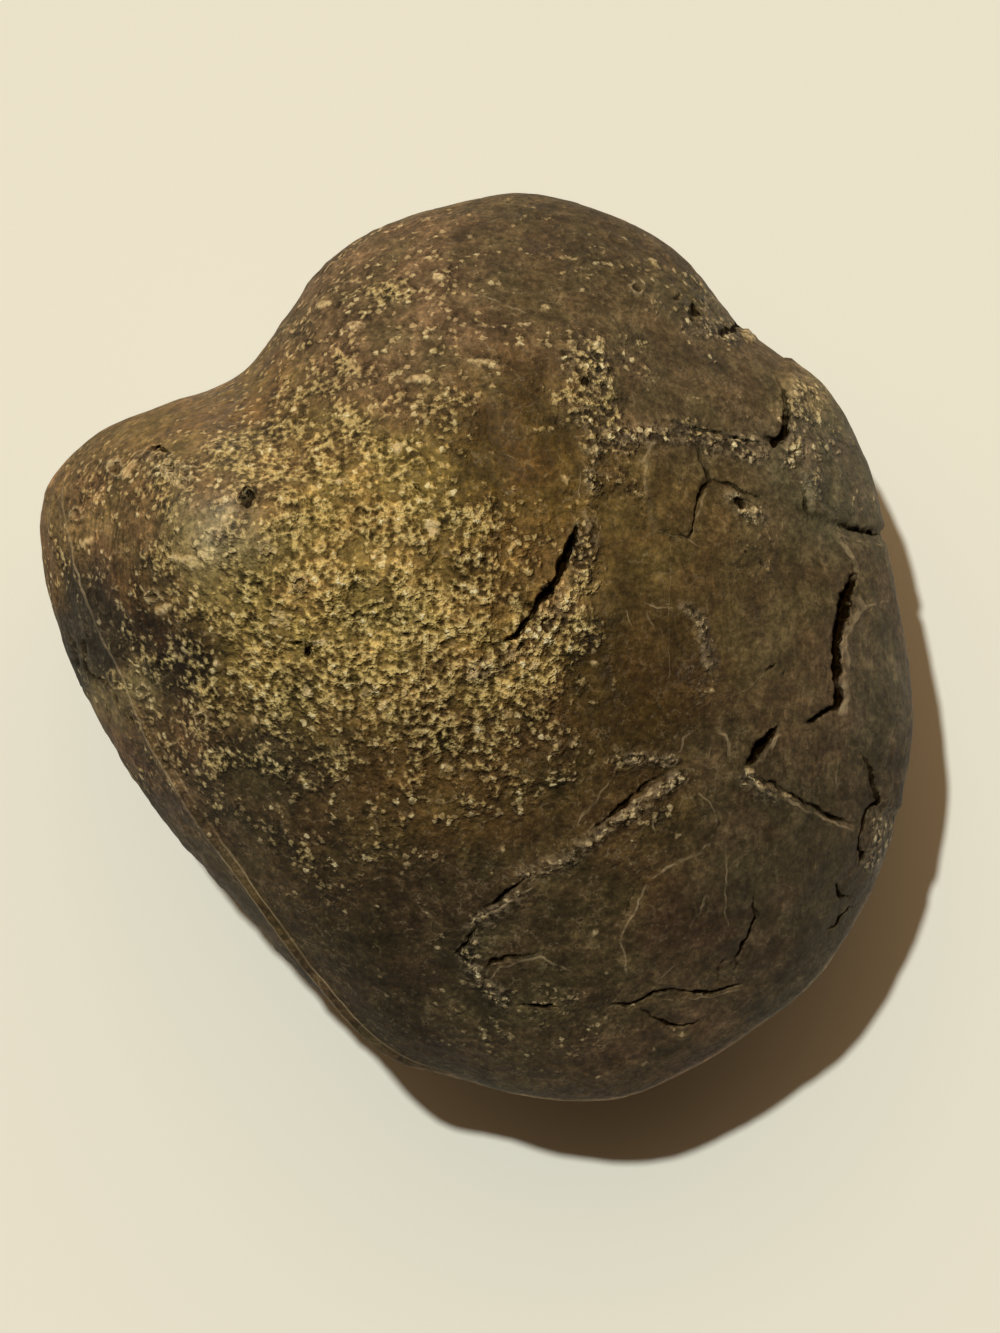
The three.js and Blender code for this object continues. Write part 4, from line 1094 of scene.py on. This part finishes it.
class StoneWiring(Wiring):
    """The stone's colour and fine relief, from the marks on its mesh and from noise."""

    def __init__(self, material):
        super().__init__(material)
        self.where = self.add("TexCoord", {}).outputs["Object"]
        self.grain, self.gap, self.crumb, self.chip, self.polish, self.streak = (
            self.attribute(name) for name in MARKS)
        self.fine = self.noise(self.where, FINE_SIZE)
        self.clumps = self.noise(self.where, CLUMP_SIZE, 3, 0.6)
        self.clouds = self.noise(self.where, CLOUD_SIZE, 4, 0.6)
        self.specks = self.noise(self.where, SPECK_SIZE)
        self.thick = self.math("MAXIMUM", self.grain, self.crumb)
        self.glinting = self.times(self.polish, self.grain)
        streaks = self.noise(self.stretched(self.where, STREAK_STRETCH), STREAK_SIZE, 3, 0.6)
        self.streaked = self.times(self.weighed((streaks, 1.0), start=-0.5), self.streak)
        crumbs, lot, self.tone = self.cells(self.bent(self.where, 0.4, 0.5), FINE_SIZE)
        self.laid = self.step(self.weighed((lot, 1.0), (self.thick, 0.95)), 1.0, 1.1)
        self.level = self.grain_level(crumbs)

    def grain_level(self, crumbs):
        """Height in the grain, from 0 in its hollows to 1 on top."""
        knobs = self.step(self.weighed((crumbs, 1.0), (self.tone, -0.25), start=0.2), 0.85, 0.3)
        knobs = self.times(knobs, self.laid)
        dotted = self.weighed((self.times(knobs, self.step(self.tone, -0.4, 1.2)), 0.5),
                              (self.fine, 0.5), start=0.1)
        level = self.weighed((self.fine, 0.74), (self.clumps, 0.26),
                             (self.times(knobs, self.thick), 0.15))
        loose = self.math("MAXIMUM", self.crumb, self.step(self.grain, 0.95, 0.55))
        return self.blend(self.times(loose, 0.6), level, dotted)

    def flecks(self):
        """Small pale flecks and curled wisps all over, and more where it is crumbly."""
        spots = self.noise(self.where, FLECK_SIZE, 3, 0.65)
        spots = self.step(self.weighed((spots, 1.0), (self.clouds, 0.4)), 0.80, 0.94)
        wisps = self.weighed((self.noise(self.where, WISP_SIZE), 1.0), start=-0.5)
        wisps = self.times(self.step(self.math("ABSOLUTE", wisps), 0.03, 0.008),
                           self.step(self.clumps, 0.5, 0.6))
        flecks = self.weighed((spots, 1.0), (wisps, 0.7))
        flecks = self.times(flecks, self.weighed((self.polish, -0.2), start=0.34))
        crumbly = self.times(self.crumb, self.step(self.fine, 0.40, 0.60))
        return self.weighed((flecks, 1.0), (crumbly, 0.5))

    def bare_colour(self):
        """The ground colour with its clouds, streaks, scratches and flecks."""
        uneven = self.weighed((self.clouds, 1.6), (self.fine, 2.2), (self.clumps, 1.6),
                              (self.specks, 1.2), start=-3.3)
        uneven = self.times(uneven, self.weighed((self.polish, -0.2), start=1.0))
        scratches = self.stretched(self.bent(self.where, 7, 5), SCRATCH_STRETCH)
        scratches = self.step(self.noise(scratches, SCRATCH_SIZE, 1), 0.70, 0.76)
        uneven = self.weighed((uneven, 1.0), (self.streaked, 3.2), (scratches, 0.4))
        shade = self.math("POWER", math.e, uneven)
        tint = self.add("CombineColor", {0: shade, 1: shade, 2: shade}).outputs[0]
        colour = self.mix(1.0, self.attribute("ground", "Color"), tint, "MULTIPLY")
        hue = self.step(self.noise(self.where, HUE_SIZE, 3, 0.6), 0.35, 0.65)
        colour = self.mix(1.0, colour, self.mix(hue, GREENISH, REDDISH), "MULTIPLY")
        return self.mix(self.flecks(), colour, CREAM)

    def with_grain(self, colour, raised):
        """The bare colour with the ochre grain laid on it."""
        # Darker between the grains and paler on their tops: painted shade and painted light, on
        # top of the grain's own colours.
        hollow = self.mix(self.step(self.thick, 0.0, 0.9), colour, HOLLOW_SHADE_SHARE, "MULTIPLY")
        paleness = self.weighed((self.thick, 0.5), start=0.15)
        pale = self.mix(paleness, raised, self.mix(self.grain, CREAM, PALE_GRAIN))
        grains = self.mix(self.step(self.level, 0.36, 0.55), hollow, colour)
        grains = self.mix(self.step(self.level, 0.50, 0.68), grains, pale)
        bright = self.times(self.step(self.level, 0.66, 0.76), self.step(self.tone, 0.6, 1.0))
        grains = self.mix(self.times(bright, self.thick), grains, BRIGHT_GRAIN)
        shown = self.weighed((self.thick, 1.0), (self.level, 2.4), start=-1.2)
        shown = self.math("MAXIMUM", self.step(shown, 0.42, 0.72),
                          self.times(self.laid, self.grain))
        return self.mix(self.times(shown, 0.92), colour, grains)

    def relief(self, line):
        lumpy = self.weighed((self.grain, 0.65), (self.crumb, 0.25), start=0.15)
        speckled = self.times(self.specks, self.weighed((self.glinting, 0.04), start=0.015))
        height = self.weighed((self.times(self.level, lumpy), 1.0), (self.streaked, 0.10),
                              (line, 0.04), (speckled, 1.0))
        inputs = {"Strength": 1.0, "Distance": BUMP_HEIGHT * MM, "Height": height}
        return self.add("Bump", inputs).outputs["Normal"]


def stone_material():
    material = bpy.data.materials.new("fossil_stone")
    material.use_nodes = True
    stone = StoneWiring(material)
    bare = stone.bare_colour()
    raised = stone.mix(1.0, bare, RAISED_LIGHT_SHARE, "MULTIPLY")
    colour = stone.with_grain(bare, raised)
    chipped = stone.mix(stone.step(stone.level, 0.3, 0.6), raised, CHIP_COLOUR)
    colour = stone.mix(stone.chip, colour, chipped)
    # Pale lines: along edges of shell and scratches they are painted highlights, where the edges
    # catch the light; along the seam they are its pale lines.
    line = stone.times(stone.fine_line("off_line", "line", stone.fine, 0.85), 0.95)
    colour = stone.mix(line, colour, stone.mix(0.55, raised, CREAM))
    # The cracks' fine lines, with the pits and ring holes, are drawn near black: painted shade.
    crack = stone.fine_line("off_crack", "crack", stone.fine, 0.75)
    gap = stone.math("MAXIMUM", stone.gap, crack)
    colour = stone.mix(gap, colour, GAP_SHADE_COLOUR)
    rough = stone.weighed((stone.polish, -0.16), (stone.glinting, -0.14), (stone.specks, 0.1),
                          (gap, 0.3), start=0.62)
    gloss = stone.weighed((gap, -0.15), (stone.glinting, 0.4), start=0.15)
    stone.feed(stone.nodes["Principled BSDF"], {
        "Base Color": colour, "Roughness": rough, "Specular IOR Level": gloss,
        "Normal": stone.relief(line)})
    return material


def floor_material():
    material = bpy.data.materials.new("pale_floor")
    material.use_nodes = True
    shader = material.node_tree.nodes["Principled BSDF"]
    shader.inputs["Base Color"].default_value = (*FLOOR_COLOUR, 1)
    shader.inputs["Roughness"].default_value = 0.9
    shader.inputs["Specular IOR Level"].default_value = 0.1
    return material


# ------------------------------------------------------------------ scene

def add_stone():
    stone = bpy.data.objects.new("fossil_clam_stone", stone_mesh())
    bpy.context.collection.objects.link(stone)
    stone.data.materials.append(stone_material())
    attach(stone, "root")
    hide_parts("fossil_clam")


def add_floor():
    bpy.ops.mesh.primitive_plane_add(size=FLOOR_SIZE, location=(0, 0, 0))
    floor = bpy.context.object
    floor.name = "floor"
    floor.data.materials.append(floor_material())


def add_light():
    sun = bpy.data.lights.new("sun", "SUN")
    sun.energy = SUN_STRENGTH
    sun.color = SUN_COLOUR
    sun.angle = math.radians(SUN_ANGLE)
    lamp = bpy.data.objects.new("sun", sun)
    lamp.rotation_euler = Vector(LIGHT_FROM).to_track_quat("Z", "Y").to_euler()
    bpy.context.collection.objects.link(lamp)
    world = bpy.data.worlds.new("sky")
    world.use_nodes = True
    wiring = Wiring(world)
    towards = wiring.add("TexCoord", {}).outputs["Generated"]
    inputs = {0: towards, 1: Vector(SKY_BRIGHT_SIDE).normalized()}
    facing = wiring.add("VectorMath", inputs, operation="DOT_PRODUCT").outputs["Value"]
    share = wiring.step(facing, 0.45, 1.0)
    wiring.feed(wiring.nodes["Background"],
                {"Color": wiring.mix(share, (*SKY_LOW, 1), (*SKY_HIGH, 1))})
    bpy.context.scene.world = world


def add_camera():
    lens = bpy.data.cameras.new("camera")
    lens.sensor_width = SENSOR
    lens.lens = SENSOR * CAMERA_DISTANCE / FRAME_HEIGHT
    camera = bpy.data.objects.new("camera", lens)
    x, y, z = CAMERA_TARGET
    camera.location = (x * MM, y * MM, (z + CAMERA_DISTANCE) * MM)
    bpy.context.collection.objects.link(camera)
    bpy.context.scene.camera = camera


add_stone()
add_floor()
add_light()
add_camera()
bpy.context.scene.view_settings.view_transform = "Standard"
bpy.context.view_layer.update()
